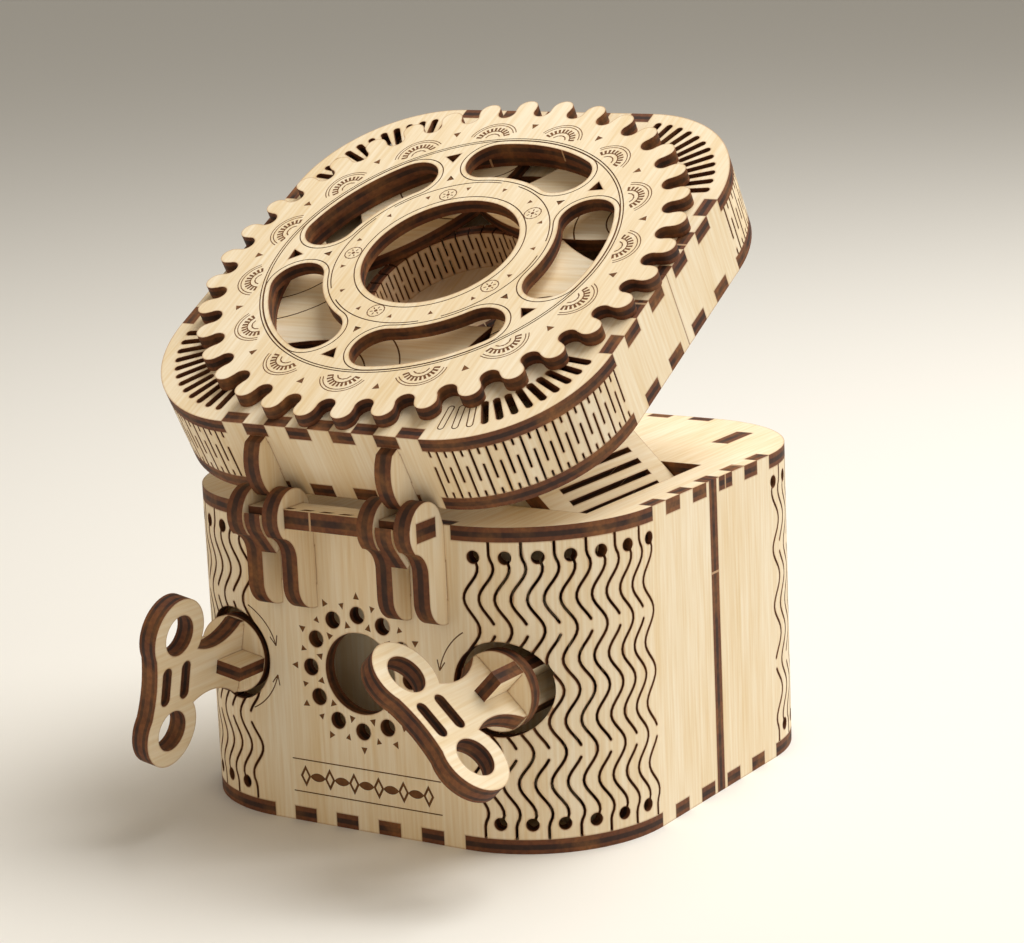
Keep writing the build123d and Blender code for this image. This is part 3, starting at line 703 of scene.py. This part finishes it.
# ------------------------------------------------------------------ bent walls
class Wrap:
    """Half of a bent wall: its path round the front or the rear, flat (s, z) to bent and back."""

    def __init__(self, node, rear, lid):
        about = Matrix.Translation(HINGE) @ Matrix.Rotation(LID_ANGLE, 4, "X") @ Matrix.Translation(-HINGE)
        half_turn = Matrix.Rotation(math.pi, 4, "Z")
        self.place_all = (about if lid else Matrix()) @ (half_turn if rear else Matrix())
        self.solid = merged(node)
        back = self.place_all.inverted()
        bmesh.ops.transform(self.solid, matrix=back, verts=self.solid.verts)
        self.solid.normal_update()
        spots = [vert.co for vert in self.solid.verts]
        self.width = 2 * max(p.x for p in spots) / MM
        self.depth = -2 * min(p.y for p in spots) / MM
        self.bottom = min(p.z for p in spots) / MM
        self.top = max(p.z for p in spots) / MM
        self.radius = bpy.context.scene.wall_sizes.corner_radius / MM
        self.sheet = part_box("base_plate")[1].z / MM
        self.straight = self.width / 2 - self.radius
        self.corner_y = self.depth / 2 - self.radius
        self.quarter = self.radius * math.pi / 2

    def unroll(self, point):
        """A point on the outer surface as (s, z)."""
        x, y, z = (c / MM for c in point)
        sign = math.copysign(1, x)
        reach = abs(x)
        if y < -self.corner_y and reach <= self.straight:
            return (x, z)
        if y < -self.corner_y:
            turn = math.atan2(reach - self.straight, -y - self.corner_y)
            return (sign * (self.straight + self.radius * turn), z)
        return (sign * (self.straight + self.quarter + y + self.corner_y), z)

    def bend(self, s, z, height):
        """The point at s along the path, z up, and that height out from the inner face."""
        inset = self.sheet - height
        reach, sign = abs(s), math.copysign(1, s)
        if reach <= self.straight:
            x, y = reach, -self.depth / 2 + inset
        elif reach <= self.straight + self.quarter:
            turn = (reach - self.straight) / self.radius
            x = self.straight + (self.radius - inset) * math.sin(turn)
            y = -self.corner_y - (self.radius - inset) * math.cos(turn)
        else:
            x = self.width / 2 - inset
            y = -self.corner_y + reach - self.straight - self.quarter
        return self.place_all @ (Vector((sign * x, y, z)) * MM)

    def outside(self, face):
        """True where a face lies on the wall's outer surface."""
        if abs(face.normal.z) > 0.5:
            return False
        for vert in face.verts:
            s, z = self.unroll(vert.co)
            there = self.place_all.inverted() @ self.bend(s, z, self.sheet)
            if (there - vert.co).length > 3e-5:
                return False
        middle = face.calc_center_median()
        s, z = self.unroll(middle)
        outward = self.bend(s, z, self.sheet + 1) - self.bend(s, z, self.sheet)
        return face.normal.dot(self.place_all.to_3x3().inverted() @ outward) > 0.5 * MM

    def plan(self):
        faces = [face for face in self.solid.faces if self.outside(face)]
        plan = Plan(rim_outlines(faces, self.unroll))
        steps = 18
        for side in (-1, 1):
            for k in range(steps + 1):
                s = side * (self.straight + self.quarter * k / steps)
                plan.guides.append([(s, self.bottom - 1), (s, self.top + 1)])
        return plan

    def corner_middle(self):
        """s at the middle of a corner."""
        return self.straight + self.quarter / 2


def bent_wall(node, rear, lid, change, place_of=None):
    """Cuts one bent wall; change adds cuts and marks to its pattern."""
    wrap = Wrap(node, rear, lid)
    plan = wrap.plan()
    change(wrap, plan)
    show_sheet(node, plan, 0.0, wrap.sheet, place_of(wrap) if place_of else wrap.bend)


def wavy_slits(wrap, plan):
    """Wavy slits at both corners, each with a dot at one end, a bridge, and an open start at the other."""
    sizes = sizes_of("wall_sizes")
    point_step = 1.1
    middle, half = (wrap.top + wrap.bottom) / 2, (wrap.top - wrap.bottom) / 2
    dot_rise = half - sizes.dot_inset
    first = wrap.corner_middle() + sizes.slit_shift - (sizes.slits - 1) / 2 * sizes.slit_pitch

    def wave(side, s, start, end):
        """Points of a slit between two heights; above and below the dots it runs straight."""
        count = max(2, math.ceil(abs(end - start) / point_step))
        line = []
        for k in range(count + 1):
            z = start + (end - start) * k / count
            bent = max(-dot_rise, min(dot_rise, z - middle))
            sway = sizes.wave_reach * math.cos(2 * math.pi * bent / sizes.wave_length)
            line.append((side * (s + sway), z))
        return line

    for side in (-1, 1):
        for k in range(sizes.slits):
            s = first + k * sizes.slit_pitch
            way = 1 if k % 2 == 0 else -1
            gap = middle - way * half * (1 - 2 * sizes.bridge_share)
            long_part = wave(side, s, middle + way * dot_rise, gap + way * sizes.bridge / 2)
            short_part = wave(side, s, gap - way * sizes.bridge / 2, middle - way * half)
            plan.cuts.append(path_band(long_part, sizes.slit_width))
            plan.cuts.append(path_band(short_part, sizes.slit_width))
            plan.cuts.append(disc(*long_part[0], sizes.dot_radius))


def slit_column(plan, s, bottom, tall, shares, width):
    """One column of straight slits, given as shares of the wall's height."""
    for start, end in shares:
        plan.cuts.append(path_band([(s, bottom + tall * start), (s, bottom + tall * end)], width))


def straight_slits(wrap, plan):
    """Close straight slits at both corners of the lid, in two alternating columns."""
    sizes = sizes_of("lid_sizes")
    columns = (((-0.1, 0.60), (0.76, 1.1)), ((-0.1, 0.24), (0.40, 1.1)))
    count = int(wrap.quarter / sizes.slit_pitch)
    for side in (-1, 1):
        for k in range(count):
            s = side * (wrap.corner_middle() + (k - (count - 1) / 2) * sizes.slit_pitch)
            slit_column(plan, s, wrap.bottom, wrap.top - wrap.bottom, columns[k % 2], sizes.slit_width)


def bore_place(wrap):
    """Bends like the wrap, but keeps the walls of the key holes parallel to the keys."""
    marks = sizes_of("front_marks")
    fade = 9.0

    def place(s, z, level):
        corner = abs(s) - wrap.straight
        if level > 0 or not 0 < corner < wrap.quarter:
            return wrap.bend(s, z, level)
        turn = corner / wrap.radius
        x = wrap.straight + wrap.radius * math.sin(turn)
        beyond = max(0.0, math.hypot(x - marks.key_reach, z - marks.key_height) - marks.key_hole)
        weight = max(0.0, 1 - beyond / fade)
        sine = min(0.999, wrap.radius * math.sin(turn) / (wrap.radius - wrap.sheet))
        moved = wrap.straight + wrap.radius * math.asin(sine)
        shift = (moved - abs(s)) * weight
        return wrap.bend(s + math.copysign(shift, s), z, level)

    return place


# ------------------------------------------------------------------ repeats by geometry nodes
def ring_tree():
    """A node tree that stands copies of one mark round a circle."""
    known = bpy.data.node_groups.get("marks_round_a_ring")
    if known:
        return known
    tree = bpy.data.node_groups.new("marks_round_a_ring", "GeometryNodeTree")
    for name, kind in (("Mark", "Geometry"), ("Count", "Int"), ("Radius", "Float"),
                       ("First Angle", "Float"), ("Finish", "Material")):
        tree.interface.new_socket(name, in_out="INPUT", socket_type="NodeSocket" + kind)
    tree.interface.new_socket("Marks", in_out="OUTPUT", socket_type="NodeSocketGeometry")
    given = add(tree, "NodeGroupInput").outputs
    index = add(tree, "GeometryNodeInputIndex")
    step = add(tree, "ShaderNodeMath", {0: 2 * math.pi, 1: given["Count"]}, operation="DIVIDE")
    angle = add(tree, "ShaderNodeMath", {
        0: index.outputs["Index"], 1: step.outputs["Value"], 2: given["First Angle"]},
        operation="MULTIPLY_ADD")
    cosine = add(tree, "ShaderNodeMath", {0: angle.outputs["Value"]}, operation="COSINE")
    sine = add(tree, "ShaderNodeMath", {0: angle.outputs["Value"]}, operation="SINE")
    heading = add(tree, "ShaderNodeCombineXYZ", {"X": cosine.outputs["Value"], "Y": sine.outputs["Value"]})
    spot = add(tree, "ShaderNodeVectorMath", {
        0: heading.outputs["Vector"], "Scale": given["Radius"]}, operation="SCALE")
    dots = add(tree, "GeometryNodePoints", {"Count": given["Count"], "Position": spot.outputs["Vector"]})
    turn = add(tree, "ShaderNodeCombineXYZ", {"Z": angle.outputs["Value"]})
    placed = add(tree, "GeometryNodeInstanceOnPoints", {
        "Points": dots.outputs["Points"], "Instance": given["Mark"], "Rotation": turn.outputs["Vector"]})
    real = add(tree, "GeometryNodeRealizeInstances", {"Geometry": placed.outputs["Instances"]})
    done = add(tree, "GeometryNodeSetMaterial", {
        "Geometry": real.outputs["Geometry"], "Material": given["Finish"]})
    add(tree, "NodeGroupOutput", {"Marks": done.outputs["Geometry"]})
    return tree


def ring_of_marks(outlines, count, radius, first_angle):
    """A mesh of one flat mark, drawn by outlines in mm, repeated round a circle."""
    mark = linked("mark", inlay_mesh(outlines))
    tree = ring_tree()
    modifier = mark.modifiers.new("ring", "NODES")
    modifier.node_group = tree
    values = {"Count": count, "Radius": radius * MM, "First Angle": first_angle,
              "Finish": finish_named("engraved")}
    for item in tree.interface.items_tree:
        if item.in_out == "INPUT" and item.name in values:
            modifier[item.identifier] = values[item.name]
    graph = bpy.context.evaluated_depsgraph_get()
    mesh = bpy.data.meshes.new_from_object(mark.evaluated_get(graph))
    mark.modifiers.remove(modifier)
    bpy.data.objects.remove(mark)
    return mesh


def inlay_mesh(outlines):
    """A thin flat mesh of a mark, without scorch or grain."""
    points, faces = [], []
    for outline in outlines:
        start = len(points)
        points.extend(Vector(p) for p in anticlockwise(outline))
        faces.append(list(range(start, len(points))))
    found = delaunay_2d_cdt(points, [], faces, 1, 1e-4)
    flat, triangles = found[0], found[2]
    count = len(flat)
    heights = (-sizes_of("sheet_sizes").engrave_depth, MARK_RISE)
    vertices = [Vector((p.x, p.y, height)) * MM for height in heights for p in flat]
    solid = [[k + count for k in t] for t in triangles] + [list(reversed(t)) for t in triangles]
    sides = {(t[k], t[(k + 1) % 3]) for t in triangles for k in range(3)}
    solid += [[a, b, b + count, a + count] for a, b in sides if (b, a) not in sides]
    mesh = bpy.data.meshes.new("mark")
    mesh.from_pydata(vertices, [], solid)
    mesh.update()
    return mesh


def joined(name, meshes, placement):
    """Several meshes as one, moved by a matrix."""
    whole = bmesh.new()
    for mesh in meshes:
        whole.from_mesh(mesh)
    bmesh.ops.transform(whole, matrix=placement, verts=whole.verts)
    result = bpy.data.meshes.new(name)
    whole.to_mesh(result)
    whole.free()
    result.materials.append(finish_named("engraved"))
    return result


def plane_matrix(origin, normal):
    """Matrix from a sheet's own plane to the frame."""
    across, upward = flat_basis(normal)
    matrix = Matrix((across, upward, normal)).transposed().to_4x4()
    matrix.translation = origin
    return matrix


# ------------------------------------------------------------------ the pieces
class TREASURE_OT_box_walls(bpy.types.Operator):
    """Cuts the two bent walls of the box with their wavy slits and front engraving"""
    bl_idname = "treasure.box_walls"
    bl_label = "Box walls"

    def execute(self, context):
        bent_wall("front_wall", False, False, front_pattern, bore_place)
        bent_wall("rear_wall", True, False, wavy_slits)
        return {"FINISHED"}


def front_pattern(wrap, plan):
    """Wavy slits, turning arrows by the key holes and an ornament band under the pierced ring."""
    wavy_slits(wrap, plan)
    marks, thin = sizes_of("front_marks"), sizes_of("sheet_sizes").line_width
    # by the left and the right key: the arrows' radius, and where each starts and ends in degrees
    spans = ((-marks.key_reach, 13.7, ((67, 15), (-67, -15))),
             (marks.key_reach, 15.2, ((122, 168), (-122, -168))))
    for x, radius, arcs in spans:
        for start, end in arcs:
            arrow(plan, (x, marks.key_height), radius, math.radians(start), math.radians(end), thin)
    ornament_band(plan, marks.band_height, thin)


def arrow(plan, centre, radius, start, end, thin):
    """A curved arrow that points along its arc towards the end angle."""
    barb, barb_angle = 2.6, math.radians(24)
    plan.marks.append([arc_band(radius, thin, start, end, centre)])
    tip = (centre[0] + radius * math.cos(end), centre[1] + radius * math.sin(end))
    heading = end + math.copysign(math.pi / 2, end - start)
    for side in (-1, 1):
        back = heading + math.pi + side * barb_angle
        tail = (tip[0] + barb * math.cos(back), tip[1] + barb * math.sin(back))
        plan.marks.append([path_band([tip, tail], thin, capped=False)])


def ornament_band(plan, middle, thin):
    """A row of linked lozenges and leaves between two fine lines."""
    pitch, count = 7.0, 6
    tall, wide, hollow = 2.7, 1.5, 0.55
    leaf_radius, leaf_drop, rule_rise = 2.9, 1.86, 4.0
    for k in range(count):
        x = -(count - 1) / 2 * pitch + k * pitch
        outer = [(x + wide, middle), (x, middle + tall), (x - wide, middle), (x, middle - tall)]
        inner = [(x + (px - x) * hollow, middle + (pz - middle) * hollow) for px, pz in outer]
        plan.marks.append([outer, inner])
        if k < count - 1:
            leaf = []
            for first, drop in ((40, -leaf_drop), (220, leaf_drop)):
                start, end = math.radians(first), math.radians(first + 100)
                leaf += arc_points(leaf_radius, start, end, 0.5, (x + pitch / 2, middle + drop))
            plan.marks.append([leaf])
    half = count * pitch / 2
    for side in (-1, 1):
        height = middle + side * rule_rise
        plan.marks.append([path_band([(-half, height), (half, height)], thin)])


class TREASURE_OT_box_plates(bpy.types.Operator):
    """Cuts the base, the top plate, the inner walls and the ribs of the box"""
    bl_idname = "treasure.box_plates"
    bl_label = "Box plates and ribs"

    def execute(self, context):
        for node in ("base_plate", "top_plate", "front_bearing_wall", "rear_bearing_wall",
                     "side_rib_left", "side_rib_right", "rear_rib_left", "rear_rib_right"):
            cut_piece(node)
        return {"FINISHED"}


def bar_slots(plan):
    """Five short slanted marks along the front of the hinge bar, between the inner brackets."""
    count, pitch, half, lean = 5, 5.4, 1.5, 0.5
    front = min(point[1] for outline in plan.outlines for point in outline)
    near, far = front + 1.0, front + 2.1
    for k in range(count):
        x = (k - (count - 1) / 2) * pitch
        plan.marks.append([[(x - half - lean, near), (x + half - lean, near),
                            (x + half + lean, far), (x - half + lean, far)]])


class TREASURE_OT_hinge(bpy.types.Operator):
    """Cuts the hinge bar, its four brackets and the lid's two arms"""
    bl_idname = "treasure.hinge"
    bl_label = "Hinge"

    def execute(self, context):
        cut_piece("hinge_bar", along="u", change=bar_slots)
        for node in BODY_OF:
            if node.startswith(("hinge_bracket", "lid_arm")):
                cut_piece(node)
        return {"FINISHED"}


class TREASURE_OT_lid_walls(bpy.types.Operator):
    """Cuts the two bent walls of the lid with their close straight slits"""
    bl_idname = "treasure.lid_walls"
    bl_label = "Lid walls"


    def execute(self, context):
        bent_wall("lid_front_wall", False, True, straight_slits)
        bent_wall("lid_rear_wall", True, True, straight_slits)
        return {"FINISHED"}


def cut_vents(plan):
    """Fans of vents at the four corners of the lid's top plate."""
    sizes = sizes_of("lid_sizes")
    first, fan, line = 7, 76, 0.3
    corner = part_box("base_plate")[1]
    radius = bpy.context.scene.wall_sizes.corner_radius
    across, back = (corner.x - radius) / MM, (corner.y - radius) / MM
    inner, outer, width = sizes.vent_inner, sizes.vent_outer, sizes.vent_width
    slot = round_slot(inner, outer, width)
    core = round_slot(inner + line, outer - line, width - 2 * line)
    for x, y, start in ((1, 1, 0), (-1, 1, 90), (-1, -1, 180), (1, -1, 270)):
        for k in range(sizes.vent_count):
            angle = math.radians(start + first + fan * k / (sizes.vent_count - 1))
            placed = turned(slot, angle, x * across, y * back)
            if (x, y) == (1, -1) and k < sizes.blind_vents:
                plan.marks.append([placed, turned(core, angle, x * across, y * back)])
            else:
                plan.cuts.append(placed)


class TREASURE_OT_lid_plates(bpy.types.Operator):
    """Cuts the lid's top plate with its vents, the bottom plate and the spacer frames"""
    bl_idname = "treasure.lid_plates"
    bl_label = "Lid plates"


    def execute(self, context):
        cut_piece("lid_top_plate", GEAR_CENTRE, cut_vents)
        for node in ("lid_bottom_plate", "iris_frame_lower", "iris_frame_upper", "iris_base_plate"):
            cut_piece(node, GEAR_CENTRE)
        return {"FINISHED"}


class TREASURE_OT_cup(bpy.types.Operator):
    """Cuts the cup's floor and bends its slitted wall"""
    bl_idname = "treasure.cup"
    bl_label = "Cup"

    def execute(self, context):
        # painted shade: the cup floor is browned all over to stand in for the shade inside the cup, with some real
        # charring
        cut_piece("cup_floor", GEAR_CENTRE, smoke=CUP_SHADE_AND_SMOKE)
        spots = corners_of("cup_wall")
        heights = [p.dot(LID_NORMAL) / MM for p in spots]
        radii = [(p - LID_NORMAL * p.dot(LID_NORMAL)).length / MM for p in spots]
        bottom, top, inner, outer = min(heights), max(heights), min(radii), max(radii)
        around = 2 * math.pi * outer
        seam, pitch, slit = 0.05, 1.9, 0.5
        plan = Plan([[(seam, bottom), (around - seam, bottom), (around - seam, top), (seam, top)]])
        count = int(around / pitch)
        columns = (((0.14, 0.86),), ((-0.1, 0.42), (0.58, 1.1)))
        for k in range(count):
            s = around * (k + 0.5) / count
            slit_column(plan, s, bottom, top - bottom, columns[k % 2], slit)
            plan.guides.append([(s + 0.5 * pitch, bottom - 1), (s + 0.5 * pitch, top + 1)])
        across, upward = flat_basis(LID_NORMAL)

        def place(s, z, level):
            turn = s / outer
            radial = across * math.cos(turn) + upward * math.sin(turn)
            return GEAR_CENTRE + (radial * (inner + level) + LID_NORMAL * z) * MM

        # painted shade: the cup wall is browned all over to stand in for the shade inside the cup, with some real
        # charring
        show_sheet("cup_wall", plan, 0.0, outer - inner, place, smoke=CUP_SHADE_AND_SMOKE)
        return {"FINISHED"}


def leaf_lines(node):
    """Thin curved lines along a leaf, about the pivot that it swings on."""
    across, upward = flat_basis(LID_NORMAL)
    pivot = Vector(JOINTS[node + "_turn"]["pos_m"]) - GEAR_CENTRE
    centre = (pivot.dot(across) / MM, pivot.dot(upward) / MM)
    line = sizes_of("sheet_sizes").line_width * 1.3
    radii = (9.0, 17.0, 25.5)

    def change(plan):
        for radius in radii:
            plan.marks.append([arc_band(radius, line, 0, ALMOST_ROUND, centre)])

    return change


class TREASURE_OT_iris(bpy.types.Operator):
    """Cuts the iris leaves and the drive ring, and finishes the dowel pins"""
    bl_idname = "treasure.iris"
    bl_label = "Iris"


    def execute(self, context):
        cut_piece("drive_ring", GEAR_CENTRE)
        for node in BODY_OF:
            if node.startswith("leaf_pi"):
                target = frame["nodes"][node]
                target.data.materials.clear()
                target.data.materials.append(finish_named("dowel"))
            elif node.startswith("leaf_"):
                cut_piece(node, GEAR_CENTRE, leaf_lines(node), along="u")
        return {"FINISHED"}


def window_line(mean, half_wide, half_sweep):
    """A closed kidney outline centred on +X."""
    end = [mean * math.cos(half_sweep), mean * math.sin(half_sweep)]
    outer = arc_points(mean + half_wide, -half_sweep, half_sweep, 0.7)
    far = arc_points(half_wide, half_sweep, half_sweep + math.pi, 0.6, end)
    inner = arc_points(mean - half_wide, half_sweep, -half_sweep, 0.7)
    near = arc_points(half_wide, math.pi - half_sweep, 2 * math.pi - half_sweep, 0.6, (end[0], -end[1]))
    return outer + far[1:-1] + inner + near[1:-1]



def engrave_gear(plan):
    """Rings and window rims, and the pierced triangles of the spokes."""
    sizes, thin = sizes_of("gear_sizes"), sizes_of("sheet_sizes").line_width
    line_gap, hub_share = 0.35, 0.42
    large = [(41.0, -2.0), (41.0, 2.0), (37.8, 0.0)]
    small = [(29.9, -1.0), (31.9, 0.0), (29.9, 1.0)]
    for radius in (sizes.line_ring - line_gap, sizes.line_ring + line_gap, sizes.bore_ring):
        plan.marks.append(ring_band(radius, thin))
    inner, outer = sizes.window_inner, sizes.window_outer
    mean, half_wide = (inner + outer) / 2, (outer - inner) / 2
    half_sweep = sizes.window_sweep / 2 - half_wide / mean
    step = 2 * math.pi / sizes.windows
    for k in range(sizes.windows):
        angle = sizes.phase + step * k
        pair = [window_line(mean, half_wide + sizes.window_rim + side * thin / 2, half_sweep)
                for side in (1, -1)]
        plan.marks.append([turned(outline, angle) for outline in pair])
        spoke = angle + step / 2
        plan.cuts.append(turned(large, spoke))
        plan.marks.append([turned(small, spoke)])
        start, end = spoke - step * hub_share, spoke + step * hub_share
        plan.marks.append([arc_band(sizes.hub_ring, thin, start, end)])


def fan(radius, width, degrees):
    """A narrow band that reaches as many degrees to each side of +X."""
    return arc_band(radius, width, math.radians(-degrees), math.radians(degrees))


def gear_marks():
    """Meshes of the toothed arches, triangles and badges that repeat round the gear."""
    sizes, thin = sizes_of("gear_sizes"), sizes_of("sheet_sizes").line_width
    fine = thin * 0.8
    arches, phase, radius, hoop = sizes.arches, sizes.phase, sizes.arch_radius, sizes.hoop_radius
    tooth_inner = radius - 1.5
    tooth = [(tooth_inner, -0.24), (radius, -0.32), (radius, 0.32), (tooth_inner, 0.24)]
    arch = [fan(radius - 1.4, thin, 78), fan(2.0, thin, 70)]
    teeth, tooth_fan = 11, 150
    for k in range(teeth):
        arch.append(turned(tooth, math.radians(-tooth_fan / 2 + tooth_fan * k / (teeth - 1))))
    arch += [fan(hoop, fine, 74), fan(hoop - 0.75, fine, 74)]
    spoke = [(0.8, -0.14), (1.5, -0.14), (1.5, 0.14), (0.8, 0.14)]
    badge = [arc_band(sizes.badge_radius, fine, 0, ALMOST_ROUND), disc(0, 0, 0.45, 10)]
    badge += [turned(spoke, k * math.pi / 3) for k in range(6)]
    inward = [turned(triangle(1.9), math.pi)]
    pointer = [turned(triangle(1.3), math.pi)]
    return [
        ring_of_marks(arch, arches, sizes.arch_ring, phase),
        ring_of_marks(inward, arches, sizes.triangle_ring, phase + math.pi / arches),
        ring_of_marks(pointer, arches, sizes.pointer_ring, phase),
        ring_of_marks(badge, sizes.windows, sizes.badge_ring, phase + math.pi / sizes.windows),
    ]


class TREASURE_OT_ring_gear(bpy.types.Operator):
    """Cuts and engraves the ring gear"""
    bl_idname = "treasure.ring_gear"
    bl_label = "Ring gear"


    def execute(self, context):
        cut_piece("ring_gear", GEAR_CENTRE, engrave_gear)
        top = max(corner.dot(LID_NORMAL) for corner in corners_of("ring_gear"))
        placement = plane_matrix(GEAR_CENTRE + LID_NORMAL * top, LID_NORMAL)
        mesh = joined("gear_engraving", gear_marks(), placement)
        show("gear_engraving", mesh, "gear", SLOT_OF["ring_gear"])
        return {"FINISHED"}


class TREASURE_OT_sun_marks(bpy.types.Operator):
    """Engraves the three circles of triangles round the front wall's pierced ring"""
    bl_idname = "treasure.sun_marks"
    bl_label = "Sun marks"


    def execute(self, context):
        marks = sizes_of("front_marks")
        rays, up = marks.rays, math.pi / 2
        between = up + math.pi / rays
        outward = [triangle(1.7)]
        inward = [turned(triangle(1.5), math.pi)]
        meshes = [
            ring_of_marks(outward, rays, marks.ray_ring, up),
            ring_of_marks(inward, rays, marks.mid_ring + 1.0, between),
            ring_of_marks(outward, rays, marks.inner_ring, between),
        ]
        centre = Vector((0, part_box("front_wall")[0].y, marks.sun_height * MM))
        mesh = joined("sun_engraving", meshes, plane_matrix(centre, Vector((0, -1, 0))))
        show("sun_engraving", mesh, "box", SLOT_OF["front_wall"])
        return {"FINISHED"}


class TREASURE_OT_keys(bpy.types.Operator):
    """Cuts the two keys with their doors"""
    bl_idname = "treasure.keys"
    bl_label = "Keys and doors"

    def execute(self, context):
        for node in BODY_OF:
            if node.startswith("key_"):
                cut_piece(node)
        return {"FINISHED"}


# ------------------------------------------------------------------ the stage
# name, place, size in metres, watts, colour
LAMPS = (("key_lamp", (0.3, 0.35, 1.0), 0.8, 13.0, "FFFDF8"),
         ("side_lamp", (1.1, -0.25, 0.55), 0.8, 1.3, "FFF4E2"),
         ("fill_lamp", (-0.8, -1.1, 0.5), 1.0, 2.0, "FFD596"))


class TREASURE_OT_stage(bpy.types.Operator):
    """Makes the floor, the lamps, the world and the camera"""
    bl_idname = "treasure.stage"
    bl_label = "Stage"

    def execute(self, context):
        scene = context.scene
        make_floor()
        world = bpy.data.worlds.new("soft_room")
        world.use_nodes = True
        background = world.node_tree.nodes["Background"]
        background.inputs["Color"].default_value = linear_colour("F6EEDF")
        background.inputs["Strength"].default_value = 0.38
        scene.world = world
        middle = Vector((0, 0, 0.07))
        for name, spot, size, power, tint in LAMPS:
            lamp = bpy.data.lights.new(name, "AREA")
            lamp.size = size
            lamp.energy = power
            lamp.color = linear_colour(tint)[:3]
            holder = linked(name, lamp)
            holder.location = spot
            holder.rotation_mode = "QUATERNION"
            holder.rotation_quaternion = (middle - Vector(spot)).to_track_quat("-Z", "Y")
        scene.view_settings.view_transform = "Standard"
        scene.camera = make_camera()
        return {"FINISHED"}


def make_floor():
    """A plain painted floor, eight metres square."""
    reach = 4.0
    corners = [(-reach, -reach, 0), (reach, -reach, 0), (reach, reach, 0), (-reach, reach, 0)]
    mesh = bpy.data.meshes.new("floor")
    mesh.from_pydata([Vector(c) for c in corners], [], [(0, 1, 2, 3)])
    material, tree, wood = new_tree("painted_floor")
    surface(tree, {"Base Color": wood.floor, "Roughness": 0.8})
    mesh.materials.append(material)
    return linked("floor", mesh)


def make_camera():
    """A long lens from the front and a little to the left, slightly above the lid's hinge."""
    yaw, pitch, roll = (math.radians(a) for a in (33.096, 12.694, -2.562))
    right = Vector((math.cos(yaw), math.sin(yaw), 0))
    forward = Vector((-math.sin(yaw) * math.cos(pitch), math.cos(yaw) * math.cos(pitch), -math.sin(pitch)))
    up = right.cross(forward)
    tilted_right = right * math.cos(roll) + up * math.sin(roll)
    tilted_up = up * math.cos(roll) - right * math.sin(roll)
    distance, rise, aside = 751.4 * MM, 71.5 * MM, 0.43 * MM
    data = bpy.data.cameras.new("camera")
    data.sensor_width = 36.0
    data.lens = 105.5
    data.clip_start = 0.01
    camera = linked("camera", data)
    turn = Matrix((tilted_right, tilted_up, -forward)).transposed().to_4x4()
    turn.translation = tilted_right * aside + tilted_up * rise - forward * distance
    camera.matrix_world = turn
    return camera


class TREASURE_PT_panel(bpy.types.Panel):
    """Lists the steps that finish the treasure box"""
    bl_label = "Treasure Box"
    bl_idname = "TREASURE_PT_panel"
    bl_space_type = "VIEW_3D"
    bl_region_type = "UI"
    bl_category = "Treasure Box"

    def draw(self, context):
        for group, _ in GROUPS:
            box = self.layout.box()
            box.label(text=group.replace("_", " ").capitalize())
            owner = getattr(context.scene, group)
            for key in owner.bl_rna.properties.keys():
                if key not in ("rna_type", "name"):
                    box.prop(owner, key)
        for step in STEPS:
            self.layout.operator(step.bl_idname)


GROUPS = (("sheet_sizes", SheetSizes), ("wall_sizes", WallSizes), ("lid_sizes", LidSizes),
          ("gear_sizes", GearSizes), ("front_marks", FrontMarks), ("wood_colours", WoodColours))
STEPS = (TREASURE_OT_box_walls, TREASURE_OT_box_plates, TREASURE_OT_hinge, TREASURE_OT_lid_walls,
         TREASURE_OT_lid_plates, TREASURE_OT_cup, TREASURE_OT_iris, TREASURE_OT_ring_gear,
         TREASURE_OT_sun_marks, TREASURE_OT_keys, TREASURE_OT_stage)


def register():
    for name, group in GROUPS:
        bpy.utils.register_class(group)
        setattr(bpy.types.Scene, name, bpy.props.PointerProperty(type=group))
    for kind in (*STEPS, TREASURE_PT_panel):
        bpy.utils.register_class(kind)


def unregister():
    for kind in (*STEPS, TREASURE_PT_panel):
        bpy.utils.unregister_class(kind)
    for name, group in GROUPS:
        delattr(bpy.types.Scene, name)
        bpy.utils.unregister_class(group)


def main():
    register()
    for step in STEPS:
        group, action = step.bl_idname.split(".")
        getattr(getattr(bpy.ops, group), action)()


if __name__ == "__main__":
    main()
